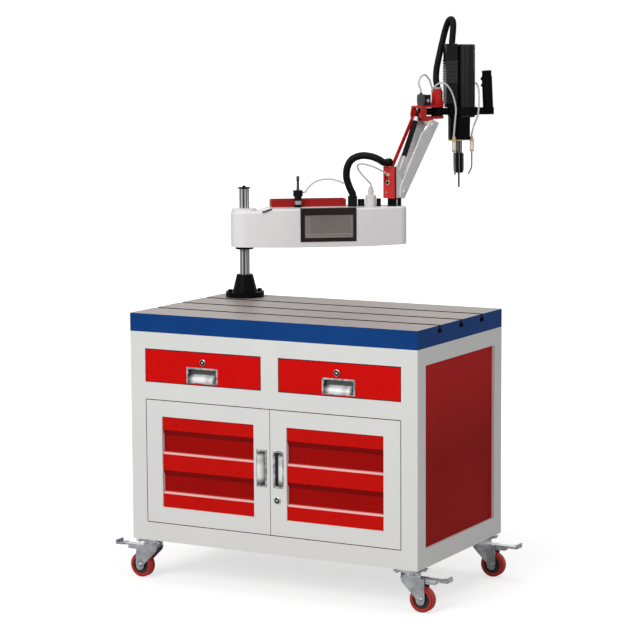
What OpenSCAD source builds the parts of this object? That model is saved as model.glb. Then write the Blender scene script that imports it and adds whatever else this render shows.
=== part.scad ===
// Arm tapping machine: a swing arm with a lifting link and a tapping head,
// standing on a wheeled tool bench. Millimetres. The origin is on the floor
// under the middle of the cabinet, +Z is up and the drawers face -Y.

/* [Bench] */
// width of the cabinet and the worktop
bench_w = 1000; // [900:10:1200]
// depth of the cabinet and the worktop
bench_d = 600; // [520:10:700]
// height of the worktop above the floor
bench_h = 850; // [820:5:900]
// thickness of the worktop
plate_t = 57; // [50:1:64]
// side of the square corner posts
post_w = 54; // [50:1:58]
// height of the front top rail
top_rail_h = 52; // [46:1:56]
// height of the drawer openings
drawer_gap_h = 105; // [100:1:115]
// height of the rail under the drawers
mid_rail_h = 54; // [46:1:60]
// height of the bottom rail
low_rail_h = 58; // [50:1:64]
// depth of the front and back rails
rail_d = 40; // [34:1:44]
// width of the post between the drawers
mullion_w = 60; // [52:1:70]
// thickness of the red side and back sheets
sheet_t = 2; // [1.5:0.5:3]
// how far the side sheets sit in from the frame's outer face
sheet_in = 9; // [6:1:14]

/* [Worktop slots] */
// distance from slot to slot
slot_pitch = 150; // [130:5:160]
// width of a slot's neck
slot_neck = 18; // [14:1:22]
// width of a slot's foot
slot_foot = 30; // [26:1:36]
// depth of a slot's neck
slot_neck_h = 12; // [10:1:16]
// height of a slot's foot
slot_foot_h = 12; // [9:1:15]

/* [Drawers] */
// gap round a drawer front or a door
door_gap = 2.5; // [1.5:0.5:3.5]
// thickness of a drawer front
front_t = 18; // [14:1:22]
// depth of a drawer tray
tray_len = 500; // [400:10:520]
// height of a drawer tray
tray_h = 66; // [50:1:76]
// thickness of a tray's sheet
tray_t = 2; // [1.5:0.5:3]
// width of a drawer pull
pull_w = 112; // [90:1:130]
// height of a drawer pull
pull_h = 50; // [44:1:60]
// depth of a pull's pocket
pull_d = 13; // [10:1:16]
// radius of a lock's face
lock_r = 9.5; // [8:0.5:11]

/* [Doors] */
// thickness of a door
door_t = 20; // [16:1:24]
// width of a door's stiles
stile_w = 56; // [48:1:60]
// height of a door's top and bottom rails
door_rail_h = 50; // [40:1:60]
// how far a ribbed panel sits behind the door's face
rib_in = 5; // [3:1:8]
// depth of a ribbed panel's channels
rib_d = 9; // [6:1:10]
// width of a door pull
door_pull_w = 36; // [30:1:42]
// height of a door pull
door_pull_h = 115; // [90:1:130]
// distance from the right door's pull down to its lock
lock_drop = 37.6; // [30:0.1:45]

/* [Casters] */
// radius of a wheel
wheel_r = 39; // [36:1:44]
// width of a wheel
wheel_w = 28; // [24:1:30]
// offset of the axle from the swivel
trail = 40; // [32:1:46]
// height of a caster with its pad
caster_h = 132; // [126:1:140]
// distance from the bench's end to a swivel
caster_in_x = 45; // [40:1:60]
// distance from the bench's front to a swivel
caster_in_y = 45; // [40:1:60]
// length of a brake pedal from the swivel
pedal_len = 130; // [110:1:145]
// radius of an axle
axle_r = 6; // [5:0.5:7]

/* [Column] */
// distance from the worktop's left end to the column
col_in_x = 105; // [80:5:200]
// distance from the worktop's back edge to the column
col_in_y = 68; // [65:1:75]
// radius of the column
col_r = 16; // [14:0.5:18]
// height of the column above the worktop
col_h = 357; // [352:1:400]
// radius of the base flange
base_r = 63; // [60:1:65]
// thickness of the base flange
base_t = 18; // [14:1:22]
// height of the base cone above the flange
cone_h = 56; // [40:1:64]
// distance of the base bolts from the column
base_bolt_r = 50; // [48:1:52]

/* [Arm] */
// direction of the arm from +X, in degrees
arm_az = 36.3; // [30:0.1:42]
// distance from the column to the link's swing pivot
arm_len = 500; // [480:5:540]
// underside of the arm above the worktop
arm_z = 166; // [160:1:180]
// height of the arm's body
arm_h = 126; // [120:1:130]
// step down in the arm's top at the column
step_h = 9; // [6:1:12]
// half width of the arm at the screen
arm_half = 79; // [72:1:84]
// radius of the arm round the column
col_end_r = 50; // [46:1:54]
// radius of the arm's far end
far_end_r = 38; // [34:1:40]
// width of the screen's bezel
screen_w = 184.5; // [170:0.5:190]
// distance from the column to the bezel
screen_x = 176; // [170:1:185]
// clearance of every running fit
fit = 0.05; // [0.02:0.01:0.09]

/* [Link] */
// direction of the link from +X, in degrees
link_az = 78; // [70:1:84]
// rise of the link above level, in degrees
link_rise = 55.1; // [50:0.1:58]
// distance between the link's pivots
link_len = 264; // [255:1:280]
// outer width of the link
link_w = 55; // [52:0.5:60]
// wall of the link
link_t = 4; // [3:0.5:5]
// thickness of a bracket's cheek
cheek_t = 4; // [3:0.5:5]
// gap between a cheek and the link's wall
cheek_gap = 0.5; // [0.3:0.1:0.9]
// radius of the link's pivot pins
pin_r = 6; // [5:0.5:7]
// radius of the pivot hub on the arm
hub_r = 22.5; // [20:0.5:23]
// radius of the tie rod
tie_r = 4; // [3:0.5:4]
// radius of the gas spring's tube
gas_r = 9; // [8.8:0.1:9.5]
// radius of the gas spring's rod
gas_rod_r = 4; // [3.5:0.5:4]

/* [Head] */
// direction of the head from +X, in degrees
head_az = 40; // [36:1:44]
// distance from the link's upper pivot to the yaw pin
yaw_u = 63; // [61:1:70]
// radius of the yaw pin
yaw_pin_r = 8; // [7:0.5:9]
// radius of the head's cross bar
bar_r = 12; // [11:0.5:12.5]
// radius of the motor
motor_r = 31.5; // [28:0.5:32]
// height of the motor
motor_h = 245; // [200:1:260]
// radius of the spindle
spindle_r = 11; // [9:0.5:11.5]
// radius of the chuck
chuck_r = 16.8; // [14:0.2:17]
// height of the chuck
chuck_h = 67; // [60:1:70]
// radius of the tap
tap_r = 3.5; // [2:0.5:5]
// length of the tap below the chuck
tap_len = 50; // [40:1:60]
// radius of the handle's grip
grip_r = 17.5; // [15:0.5:18]

/* [Hoses] */
// radius of the two large hoses
hose_r = 12; // [10:0.5:12.5]
// radius of the thin oil tubes
tube_r = 3; // [2:0.5:3]

/* [Hidden] */
$fn = 48;
e = 0.01;

// colours
white = [0.86, 0.86, 0.87];
red = [0.76, 0.05, 0.05];
blue = [0.05, 0.22, 0.48];
black = [0.06, 0.06, 0.07];
steel = [0.72, 0.72, 0.74];
zinc = [0.66, 0.67, 0.69];

// bench levels and edges
hw = bench_w / 2;
hd = bench_d / 2;
col_x = col_in_x - hw;
col_y = hd - col_in_y;
frame_top = bench_h - plate_t;
rail_z3 = frame_top - top_rail_h;
rail_z2 = rail_z3 - drawer_gap_h;
rail_z1 = rail_z2 - mid_rail_h;
low_z = caster_h + low_rail_h;
in_x = hw - post_w;
in_y = hd - post_w;
door_h = rail_z1 - low_z;

module box(x0, x1, y0, y1, z0, z1) {
 translate([x0, y0, z0])
  cube([x1 - x0, y1 - y0, z1 - z0]);
}

module corner_posts() {
 color(white)
  for (sx = [-1, 1]) for (sy = [-1, 1])
   translate([sx * (hw - post_w / 2), sy * (hd - post_w / 2), (caster_h + frame_top) / 2])
    cube([post_w, post_w, frame_top - caster_h], center = true);
}

module front_rails() {
 color(white) {
  box(-in_x, in_x, -hd, -hd + rail_d, caster_h, low_z);
  box(-in_x, in_x, -hd, -hd + rail_d, rail_z1, rail_z2);
  box(-in_x, in_x, -hd, -hd + rail_d, rail_z3, frame_top);
 }
}

module side_rails() {
 color(white) {
  for (s = [-1, 1]) for (z = [[caster_h, low_z], [rail_z3, frame_top]])
   box(s > 0 ? hw - rail_d : -hw, s > 0 ? hw : -hw + rail_d, -in_y, in_y, z[0], z[1]);
  for (z = [[caster_h, low_z], [rail_z3, frame_top]])
   box(-in_x, in_x, hd - rail_d, hd, z[0], z[1]);
  box(-mullion_w / 2, mullion_w / 2, -hd, -hd + rail_d, rail_z2, rail_z3);
 }
}

module panel_screws(x, s) {
 for (y = [-1, 1]) for (z = [low_z + 16, rail_z3 - 16])
  translate([x, y * (in_y - 17), z])
   rotate([0, s * 90, 0])
    cylinder(r1 = 4, r2 = 2.5, h = 2);
}

module panels() {
 color(red) {
  for (s = [-1, 1]) {
   xo = s * (hw - sheet_in);
   box(min(xo, xo - s * sheet_t), max(xo, xo - s * sheet_t), -in_y, in_y, low_z, rail_z3);
   panel_screws(xo, s);
  }
  box(-in_x, in_x, hd - sheet_in - sheet_t, hd - sheet_in, low_z, rail_z3);
 }
}

// floor of the cupboard, deck under the drawers and the drawer runners
module inner_panels() {
 color(white) {
  box(-in_x, in_x, -hd + rail_d, hd - rail_d, low_z - sheet_t, low_z);
  box(-in_x, in_x, -hd + rail_d, hd - sheet_in - sheet_t - 1, rail_z1 + 8, rail_z1 + 8 + sheet_t);
  for (x = [-in_x, -mullion_w / 2 - 16, mullion_w / 2, in_x - 16])
   box(x, x + 16, -hd + rail_d, hd - sheet_in - sheet_t - 1, rail_z1 + 8.05 + sheet_t, rail_z2 + 9.7);
 }
}

module tslot(y) {
 box(-hw - 1, hw + 1, y - slot_neck / 2, y + slot_neck / 2, bench_h - slot_neck_h, bench_h + 1);
 box(-hw - 1, hw + 1, y - slot_foot / 2, y + slot_foot / 2,
     bench_h - slot_neck_h - slot_foot_h, bench_h - slot_neck_h);
}

module worktop() {
 color(blue)
  difference() {
   box(-hw, hw, -hd, hd, frame_top, bench_h);
   for (i = [-1, 0, 1])
    tslot(i * slot_pitch);
  }
}

module column_base() {
 color(black)
  translate([col_x, col_y, bench_h]) {
   difference() {
    union() {
     cylinder(r = base_r, h = base_t, $fn = 72);
     translate([0, 0, base_t])
      cylinder(r1 = 40.5, r2 = 26.5, h = cone_h, $fn = 72);
    }
    translate([0, 0, -1])
     cylinder(r = col_r, h = 200);
   }
   for (a = [45, 135, 225, 315])
    rotate([0, 0, a])
     translate([base_bolt_r, 0, base_t])
      rotate([0, 0, 30])
       cylinder(r = 7.5, h = 7.5, $fn = 6);
  }
}

module column() {
 color(steel)
  translate([col_x, col_y, bench_h])
   cylinder(r = col_r, h = col_h);
}

collar_z = bench_h + arm_z - 8.3;
module column_collars() {
 color(black)
  translate([col_x, col_y, 0]) {
   translate([0, 0, collar_z])
    difference() {
     cylinder(r = 29.5, h = 8);
     translate([0, 0, -1])
      cylinder(r = col_r, h = 10);
    }
   translate([0, 0, bench_h + col_h]) {
    cylinder(r = col_r + 4, h = 4);
    translate([0, 0, 4])
     cylinder(r = 6, h = 5, $fn = 6);
   }
  }
}

// casters: local origin on the floor under the swivel, trailing along +X
plate_z = caster_h - 10;
module at_caster(sx, sy) {
 translate([sx * (hw - caster_in_x), sy * (hd - caster_in_y), 0])
  rotate([0, 0, sx > 0 ? 0 : 180])
   children();
}

module caster_plates() {
 color(zinc)
  for (sx = [-1, 1]) for (sy = [-1, 1])
   at_caster(sx, sy) {
    box(-30, 30, -30, 30, caster_h - 6, caster_h);
    difference() {
     union() {
      box(-42, 42, -34, 34, plate_z, caster_h - 6);
      translate([0, 0, plate_z - 8])
       cylinder(r = 25, h = 8);
     }
     translate([0, 0, plate_z - 9])
      cylinder(r = axle_r + fit, h = 12);
    }
    for (x = [-35, 35]) for (y = [-24, 24])
     translate([x, y, plate_z - 5])
      cylinder(r = 6, h = 5, $fn = 6);
   }
}

module fork(sx, sy) {
 color(zinc)
  at_caster(sx, sy) {
   translate([0, 0, plate_z - 18])
    cylinder(r = 30, h = 9.5);
   translate([0, 0, plate_z - 9])
    cylinder(r = axle_r, h = 10);
   for (s = [-1, 1])
    translate([0, s > 0 ? wheel_w / 2 + 5 : -wheel_w / 2 - 2, 0])
     rotate([90, 0, 0])
      linear_extrude(3)
       polygon([[-27, plate_z - 18], [trail + 12, plate_z - 18], [trail + 15, wheel_r + 6],
                [trail + 13, wheel_r - 8], [trail + 6, wheel_r - 15], [trail - 6, wheel_r - 15],
                [trail - 13, wheel_r - 8], [trail - 15, wheel_r + 4], [-22, plate_z - 32]]);
   translate([trail, 0, wheel_r])
    rotate([90, 0, 0])
     cylinder(r = axle_r, h = wheel_w + 18, center = true);
   // brake pedal with its shoe
   box(20, pedal_len - 26, -13, 13, plate_z - 23, plate_z - 18);
   box(trail + 13, trail + 46, -14, 14, plate_z - 33, plate_z - 23 + e);
   box(pedal_len - 26, pedal_len, -19, 19, plate_z - 23, plate_z - 17);
   box(pedal_len - 5, pedal_len, -19, 19, plate_z - 17, plate_z - 9);
  }
}

module wheel(sx, sy) {
 color(red)
  at_caster(sx, sy)
   translate([trail, 0, wheel_r])
    rotate([90, 0, 0])
     difference() {
      union() {
       cylinder(r = wheel_r, h = wheel_w - 8, center = true, $fn = 72);
       cylinder(r = wheel_r - 4, h = wheel_w, center = true, $fn = 72);
       cylinder(r = 14, h = wheel_w + 3, center = true);
      }
      cylinder(r = axle_r + fit, h = wheel_w + 10, center = true);
      for (s = [-1, 1])
       translate([0, 0, s * wheel_w / 2])
        difference() {
         cylinder(r = wheel_r - 11, h = 8, center = true);
         cylinder(r = 14, h = 10, center = true);
        }
     }
}

// drawers and doors: s is -1 for the left one and 1 for the right one
dr_in = mullion_w / 2 + door_gap;
dr_out = in_x - door_gap;
dr_mid = (dr_in + dr_out) / 2;
pull_z = rail_z2 + 31;

module side_box(s, x0, x1, y0, y1, z0, z1) {
 box(s > 0 ? x0 : -x1, s > 0 ? x1 : -x0, y0, y1, z0, z1);
}

module drawer_front(s) {
 color(red)
  difference() {
   side_box(s, dr_in, dr_out, -hd, -hd + front_t, rail_z2 + door_gap, rail_z3 - door_gap);
   translate([s * dr_mid, -hd, pull_z])
    cube([pull_w - 8, 4 * front_t, pull_h - 8], center = true);
   translate([s * dr_mid - 4 * s, -hd, pull_z + pull_h / 2 + 17])
    rotate([90, 0, 0])
     cylinder(r = lock_r - 1, h = 4 * front_t, center = true);
  }
}

module drawer_tray(s) {
 y0 = -hd + front_t;
 z0 = rail_z2 + 10;
 color(zinc)
  difference() {
   side_box(s, dr_in + 6, dr_out - 6, y0, y0 + tray_len, z0, z0 + tray_h);
   side_box(s, dr_in + 6 + tray_t, dr_out - 6 - tray_t, y0 + tray_t, y0 + tray_len - tray_t,
            z0 + tray_t, z0 + tray_h + 1);
   translate([s * dr_mid, y0, pull_z])
    cube([pull_w - 8, 10, pull_h - 8], center = true);
   translate([s * dr_mid - 4 * s, y0, pull_z + pull_h / 2 + 17])
    rotate([90, 0, 0])
     cylinder(r = lock_r - 1, h = 10, center = true);
  }
}

// recessed cup: rim, pocket and a lip across the lower edge
module cup(w, h) {
 difference() {
  union() {
   box(-w / 2, w / 2, -2, -e, -h / 2, h / 2);
   box(-w / 2 + 4, w / 2 - 4, -1, pull_d, -h / 2 + 4, h / 2 - 4);
  }
  box(-w / 2 + 5.5, w / 2 - 5.5, -3, pull_d - 1.5, -h / 2 + 5.5, h / 2 - 5.5);
 }
}

module lock_face() {
 rotate([90, 0, 0])
  difference() {
   union() {
    cylinder(r = lock_r - 1, h = 12, center = true);
    translate([0, 0, e])
     cylinder(r = lock_r, h = 3);
   }
   translate([-0.8, -3.5, 1])
    cube([1.6, 7, 3]);
  }
}

module drawer_pull(s) {
 color(steel) {
  translate([s * dr_mid, -hd, pull_z])
   cup(pull_w, pull_h);
  translate([s * dr_mid, -hd - 1, pull_z - pull_h / 2 + 9])
   rotate([0, 90, 0])
    cylinder(r = 3.4, h = pull_w - 10.9, center = true);
  translate([s * dr_mid - 4 * s, -hd, pull_z + pull_h / 2 + 17])
   lock_face();
 }
}

dz0 = low_z + door_gap;
dz1 = rail_z1 - door_gap;
do = in_x - door_gap;
di = door_gap / 2;
dpull_x = di + stile_w / 2;
dpull_z = dz0 + 0.53 * (dz1 - dz0);
lock_z = dpull_z - door_pull_h / 2 - lock_drop;

module door_frame(s) {
 color(white) {
  difference() {
   side_box(s, di, do, -hd, -hd + door_t, dz0, dz1);
   side_box(s, di + stile_w, do - stile_w, -hd - 1, -hd + door_t + 1,
            dz0 + door_rail_h, dz1 - door_rail_h);
   translate([s * dpull_x, -hd, dpull_z])
    cube([door_pull_w - 8, 4 * door_t, door_pull_h - 8], center = true);
   if (s > 0)
    translate([dpull_x - 3, -hd, lock_z])
     rotate([90, 0, 0])
      cylinder(r = lock_r - 1, h = 4 * door_t, center = true);
  }
  // hinge pin down the outer edge
  translate([s * (do + 1), -hd + 1.1, dz0])
   cylinder(r = 1.1, h = dz1 - dz0);
 }
}

px0 = di + stile_w;
px1 = do - stile_w;
pz0 = dz0 + door_rail_h;
pz1 = dz1 - door_rail_h;
yf = -hd + rib_in;
yb = yf + rib_d;
rib = (pz1 - pz0) / 288;

// the sheet's outline, seen from the end: bands with two channels, each with a ledge at its foot
function rib_line(y0, t) = [[y0 + t, pz0], [y0 + t, pz0 + 43 * rib], [y0 + t + rib_d, pz0 + 55 * rib],
 [y0 + t + rib_d, pz0 + 100 * rib], [y0 + t, pz0 + 118 * rib], [y0 + t, pz0 + 169 * rib],
 [y0 + t + rib_d, pz0 + 181 * rib], [y0 + t + rib_d, pz0 + 228 * rib], [y0 + t, pz0 + 246 * rib],
 [y0 + t, pz1]];

module door_panel(s) {
 f = rib_line(yf, 0);
 b = rib_line(yf, 2);
 color(red)
  translate([s > 0 ? px0 : -px1, 0, 0])
   rotate([90, 0, 90])
    linear_extrude(px1 - px0)
     polygon(concat(f, [for (i = [len(b) - 1:-1:0]) b[i]]));
}

module door_pull(s) {
 color(steel) {
  translate([s * dpull_x, -hd, dpull_z])
   cup(door_pull_w, door_pull_h);
  translate([s * dpull_x + s * (door_pull_w / 2 - 9), -hd - 1, dpull_z])
   cylinder(r = 3, h = door_pull_h - 10.9, center = true);
 }
}

module door_lock() {
 color(steel)
  translate([dpull_x - 3, -hd, lock_z])
   lock_face();
}

// arm: local X runs from the column to the link's pivot, local Y to its left
az0 = bench_h + arm_z;
az1 = az0 + arm_h;
az_low = az1 - step_h;
module at_arm() {
 translate([col_x, col_y, 0])
  rotate([0, 0, arm_az])
   children();
}

// where the tangent from (px, py) touches a circle of radius r at (cx, 0)
function tang(px, py, cx, r, s) =
 let (d = norm([px - cx, py]), a = atan2(py, px - cx) + s * acos(r / d))
 [cx + r * cos(a), r * sin(a)];
corner_a = 155;
corner_b = arm_len - 95;
ta = tang(corner_a, arm_half, 6, col_end_r - 0.6, 1);
tb = tang(corner_b, arm_half, arm_len + 2, far_end_r - 0.6, -1);
side = [ta, [corner_a, arm_half], [corner_b, arm_half], tb];
plan = concat(side, [for (i = [3:-1:0]) [side[i][0], -side[i][1]]]);

module housing() {
 color(white)
  at_arm()
   difference() {
    union() {
     difference() {
      union() {
       translate([0, 0, az0])
        linear_extrude(arm_h)
         polygon(plan);
       translate([6, 0, az0])
        cylinder(r = col_end_r, h = arm_h, $fn = 96);
       translate([arm_len + 2, 0, az0])
        cylinder(r = far_end_r, h = arm_h, $fn = 96);
      }
      // low shelf round the column, with a ramp up to the raised top
      translate([0, 200, 0])
       rotate([90, 0, 0])
        linear_extrude(400)
         polygon([[-80, az_low], [55, az_low], [84, az1], [84, az1 + 5], [-80, az1 + 5]]);
     }
     // round cover over the column
     translate([0, 0, az_low - 2])
      cylinder(r = 40.5, h = step_h + 2, $fn = 72);
    }
    translate([0, 0, az0 - 1])
     cylinder(r = col_r + fit, h = arm_h + 4);
    // seat of the swing pivot's post
    translate([arm_len, 0, az1 - 20])
     cylinder(r = 12, h = 30);
   }
}

gx0 = screen_x + 14;
gx1 = screen_x + screen_w - 10.5;
gz0 = az0 + 30.5;
gz1 = az1 - 21;
module screen_bezel() {
 color(black)
  at_arm()
   difference() {
    union() {
     box(screen_x, screen_x + screen_w, -arm_half - 2.5, -arm_half, az0 + 18, az1 + 1.5);
     box(screen_x, screen_x + screen_w, -arm_half - e, -arm_half + 16, az1, az1 + 1.5);
    }
    box(gx0, gx1, -arm_half - 5, -arm_half + 1, gz0, gz1);
   }
}

module screen_glass() {
 color([0.3, 0.28, 0.27])
  at_arm()
   box(gx0, gx1, -arm_half - 1.6, -arm_half, gz0, gz1);
}

// open tray for collets, with three round seats in its floor plate
tr0 = 92;
tr1 = arm_len - 160;
module parts_tray() {
 color(red)
  at_arm()
   difference() {
    box(tr0, tr1, 12, 72, az1, az1 + 24);
    box(tr0 + 2.5, tr1 - 2.5, 14.5, 69.5, az1 + 2.5, az1 + 25);
   }
}

cx = arm_len - 322;
module collet() {
 color(black)
  at_arm()
   translate([cx, -2, az1]) {
    cylinder(r = 12, h = 36);
    translate([0, 0, 36])
     cylinder(r = 16, h = 20);
    translate([0, 0, 56])
     cylinder(r = 3.5, h = 30);
    translate([0, 0, 86])
     cylinder(r = 4.6, h = 16);
   }
}

module oil_bottle() {
 color(white)
  at_arm()
   translate([arm_len - 79, 0, az1]) {
    cylinder(r = 18, h = 35);
    translate([0, 0, 35])
     cylinder(r1 = 18, r2 = 9.5, h = 5);
    translate([0, 0, 40])
     cylinder(r = 7.5, h = 24);
   }
}

// cuff of the lower hose, a knob and a plug on the arm's top, and the post of the swing pivot
module hose_fittings() {
 color(black)
  at_arm() {
   translate([arm_len - 140, 0, az1])
    cylinder(r = 15.6, h = 34);
   translate([arm_len - 109, 14, az1])
    cylinder(r = 11.5, h = 23);
   translate([arm_len - 52.5, 0, az1])
    cylinder(r = 7.5, h = 25);
   translate([arm_len, 0, az1 - 20])
    cylinder(r = 12, h = 37.8);
  }
}

// swept hoses: p is the list of centre points, r the radius, n the sides
function unit(v) = v / norm(v);
function dirs(p) = [for (i = [0:len(p) - 1])
 unit(p[min(i + 1, len(p) - 1)] - p[max(i - 1, 0)])];
function frames(t, i = 0, n0 = undef) = i >= len(t) ? [] :
 let (g = n0 == undef ? (abs(t[i][0]) < 0.8 ? [1, 0, 0] : [0, 1, 0]) : n0,
      a = unit(g - (g * t[i]) * t[i]))
 concat([[a, cross(t[i], a)]], frames(t, i + 1, a));
module sweep(p, r, n) {
 f = frames(dirs(p));
 m = len(p);
 v = [for (i = [0:m - 1]) for (k = [0:n - 1])
  p[i] + r * (cos(360 * k / n) * f[i][0] + sin(360 * k / n) * f[i][1])];
 q = [for (i = [0:m - 2]) for (k = [0:n - 1])
  each let (a = i * n + k, b = i * n + (k + 1) % n) [[a, b, b + n], [a, b + n, a + n]]];
 polyhedron(points = v, faces = concat([[for (k = [0:n - 1]) k]],
  [[for (k = [n - 1:-1:0]) (m - 1) * n + k]], [for (t = q) [t[0], t[2], t[1]]]));
}
// a smooth run through hand-placed points, two extra points in each gap
function cr(a, b, c, d, t) = 0.5 * ((2 * b) + (c - a) * t + (2 * a - 5 * b + 4 * c - d) * t * t
 + (3 * b - a - 3 * c + d) * t * t * t);
function smooth(p, k) = concat([for (i = [0:len(p) - 2]) for (j = [0:k - 1])
 cr(p[max(i - 1, 0)], p[i], p[i + 1], p[min(i + 2, len(p) - 1)], j / k)], [p[len(p) - 1]]);

// a hose's run: straight at both ends, smooth between
function hose_run(p) = concat([p[0]], smooth([for (i = [1:len(p) - 2]) p[i]], 2), [p[len(p) - 1]]);

// hose points on the arm, from the arm's pivot end: along, left, up from the arm's top
low_hose = [[-140, 0, 34.2], [-140, 0, 42], [-151, 0, 66], [-160, 0, 98], [-157, -3, 131],
 [-142, -9, 156], [-114, -20, 168], [-84, -32, 166], [-60, -40, 157], [-46, -39, 148],
 [-37, -33, 145], [-27.4, -24.4, 145]];
arc_tube = [[-304.9, -2, 48], [-297, -1, 51], [-281, 5, 70], [-255, 8, 86], [-220, 8, 91],
 [-191, 6, 86], [-167.6, 3, 75.5]];
oil_run = [[-79, 0, 64.4], [-79.5, 0, 73], [-90, -2, 85], [-108, -5, 104], [-122, -9, 123],
 [-124, -16, 137], [-108, -27, 141], [-74, -33, 131], [-42, -31, 115], [-24.2, -21.4, 104]];
function on_arm(p) = [for (q = p) [arm_len + q[0], q[1], az1 + q[2]]];

module conduit_lower() {
 color(black)
  at_arm()
   sweep(hose_run(on_arm(low_hose)), hose_r, 10);
}

module oil_tube_lower() {
 color(white)
  at_arm() {
   sweep(on_arm(arc_tube), tube_r, 6);
   sweep(on_arm(oil_run), tube_r, 6);
  }
}

// link: local X is level and points along the link, Z stays up
hx = col_x + arm_len * cos(arm_az);
hy = col_y + arm_len * sin(arm_az);
module at_link() {
 translate([hx, hy, 0])
  rotate([0, 0, link_az])
   children();
}
b0 = [17, az1 + 46];
b1 = b0 + link_len * [cos(link_rise), sin(link_rise)];
tie_off = [-36, 42];
gas_lo = [-13, 27];
gas_hi = [-43, 35];
half_in = link_w / 2 - link_t;
ch_out = half_in - cheek_gap;
ch_in = ch_out - cheek_t;
base_z = az1 + 26;

// upright plate between y0 and y1, outline given in local X and Z
module plate_xz(pts, y0, y1) {
 translate([0, y1, 0])
  rotate([90, 0, 0])
   linear_extrude(y1 - y0)
    polygon(pts);
}
module rod_y(p, r, y0, y1) {
 translate([p[0], y1, p[1]])
  rotate([90, 0, 0])
   cylinder(r = r, h = y1 - y0);
}

// hub over the arm's pivot post, with the gland that the lower hose enters
module pivot_hub() {
 color(black)
  at_link() {
   difference() {
    translate([0, 0, az1 + 0.3])
     cylinder(r = hub_r, h = base_z - az1 - 0.3);
    translate([0, 0, az1])
     cylinder(r = 12 + fit, h = 18);
   }
   translate([-36, 0, az1 + 145])
    rotate([0, 90, 0])
     cylinder(r = hose_r + 1.5, h = 13);
  }
}

low_cheek = [[-30, base_z], [22, base_z + 4], [29, b0[1] - 4], [28, b0[1] + 8], [20, b0[1] + 14],
 [14, b0[1] + 38], [-6, base_z + 105.2], [-30, base_z + 105.2]];
module lower_bracket() {
 color(red)
  at_link() {
   difference() {
    union() {
     for (s = [-1, 1])
      plate_xz(low_cheek, s > 0 ? ch_in : -ch_out, s > 0 ? ch_out : -ch_in);
     box(-30, -26, -ch_in - e, ch_in + e, base_z, base_z + 105.2);
     box(-30, 22, -ch_in - e, ch_in + e, base_z, base_z + 4);
    }
    box(-40, -20, 3, ch_in - 1, b0[1] + 30, b0[1] + 54);
   }
   rod_y(b0, pin_r, -link_w / 2 - 3, link_w / 2 + 3);
   for (s = [-1, 1])
    rod_y(b0, 9, s > 0 ? link_w / 2 + 0.5 : -link_w / 2 - 4, s > 0 ? link_w / 2 + 4 : -link_w / 2 - 0.5);
   rod_y(b0 + tie_off, 4, 9, ch_in + 1);
   rod_y(b0 + gas_lo, 4, -ch_in - 1, 6);
  }
}

module at_beam() {
 at_link()
  translate([b0[0], 0, b0[1]])
   rotate([0, -link_rise, 0])
    children();
}
beam_side = [[-22, -7], [-17, -15], [24, -17], [link_len + 26, -30], [link_len + 20, -7],
 [link_len + 16, 2], [link_len + 12, 10], [link_len + 6, 14.5], [link_len - 24, 15],
 [link_len - 52, 28], [6, 23], [-16, 13], [-22, 4]];
module beam() {
 color([0.8, 0.8, 0.8])
  at_beam() {
   difference() {
    union() {
     for (s = [-1, 1])
      plate_xz(beam_side, s > 0 ? half_in : -half_in - link_t, s > 0 ? half_in + link_t : -half_in);
     plate_xz([[26, -17.1], [link_len - 28, -27.6], [link_len - 28, -23.6], [26, -13.1]],
              -half_in - 1, half_in + 1);
    }
    for (x = [0, link_len])
     rod_y([x, 0], pin_r + fit, -link_w, link_w);
   }
  }
}

module eye(r, hole, y0, y1) {
 difference() {
  rod_y([0, 0], r, y0, y1);
  rod_y([0, 0], hole, y0 - 1, y1 + 1);
 }
}

module tie_rod() {
 color(red)
  at_link()
   translate([b0[0] + tie_off[0], 0, b0[1] + tie_off[1]])
    rotate([0, -link_rise, 0]) {
     eye(6.5, 4 + fit, 10, ch_in - 1);
     translate([link_len, 0, 0])
      eye(6.5, 4 + fit, 10, ch_in - 1);
     translate([5.5, 14, 0])
      rotate([0, 90, 0])
       cylinder(r = tie_r, h = link_len - 11);
    }
}

g0 = b0 + gas_lo;
g1 = b1 + gas_hi;
gas_len = norm(g1 - g0);
gas_ang = atan2(g1[1] - g0[1], g1[0] - g0[0]);
module gas_tube() {
 color(black)
  at_link()
   translate([g1[0], 0, g1[1]])
    rotate([0, -gas_ang + 180, 0]) {
     eye(8, 4 + fit, -5, 5);
     translate([6.5, 0, 0])
      rotate([0, 90, 0])
       cylinder(r = 3.8, h = 8);
     difference() {
      translate([13, 0, 0])
       rotate([0, 90, 0])
        cylinder(r = gas_r, h = 140);
      translate([19, 0, 0])
       rotate([0, 90, 0])
        cylinder(r = gas_r - 1.2, h = 140);
     }
    }
}

module gas_rod() {
 color(steel)
  at_link()
   translate([g0[0], 0, g0[1]])
    rotate([0, -gas_ang, 0]) {
     eye(8, 4 + fit, -5, 5);
     translate([6, 0, 0])
      rotate([0, 90, 0])
       cylinder(r = gas_rod_r, h = 130);
    }
}

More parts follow.
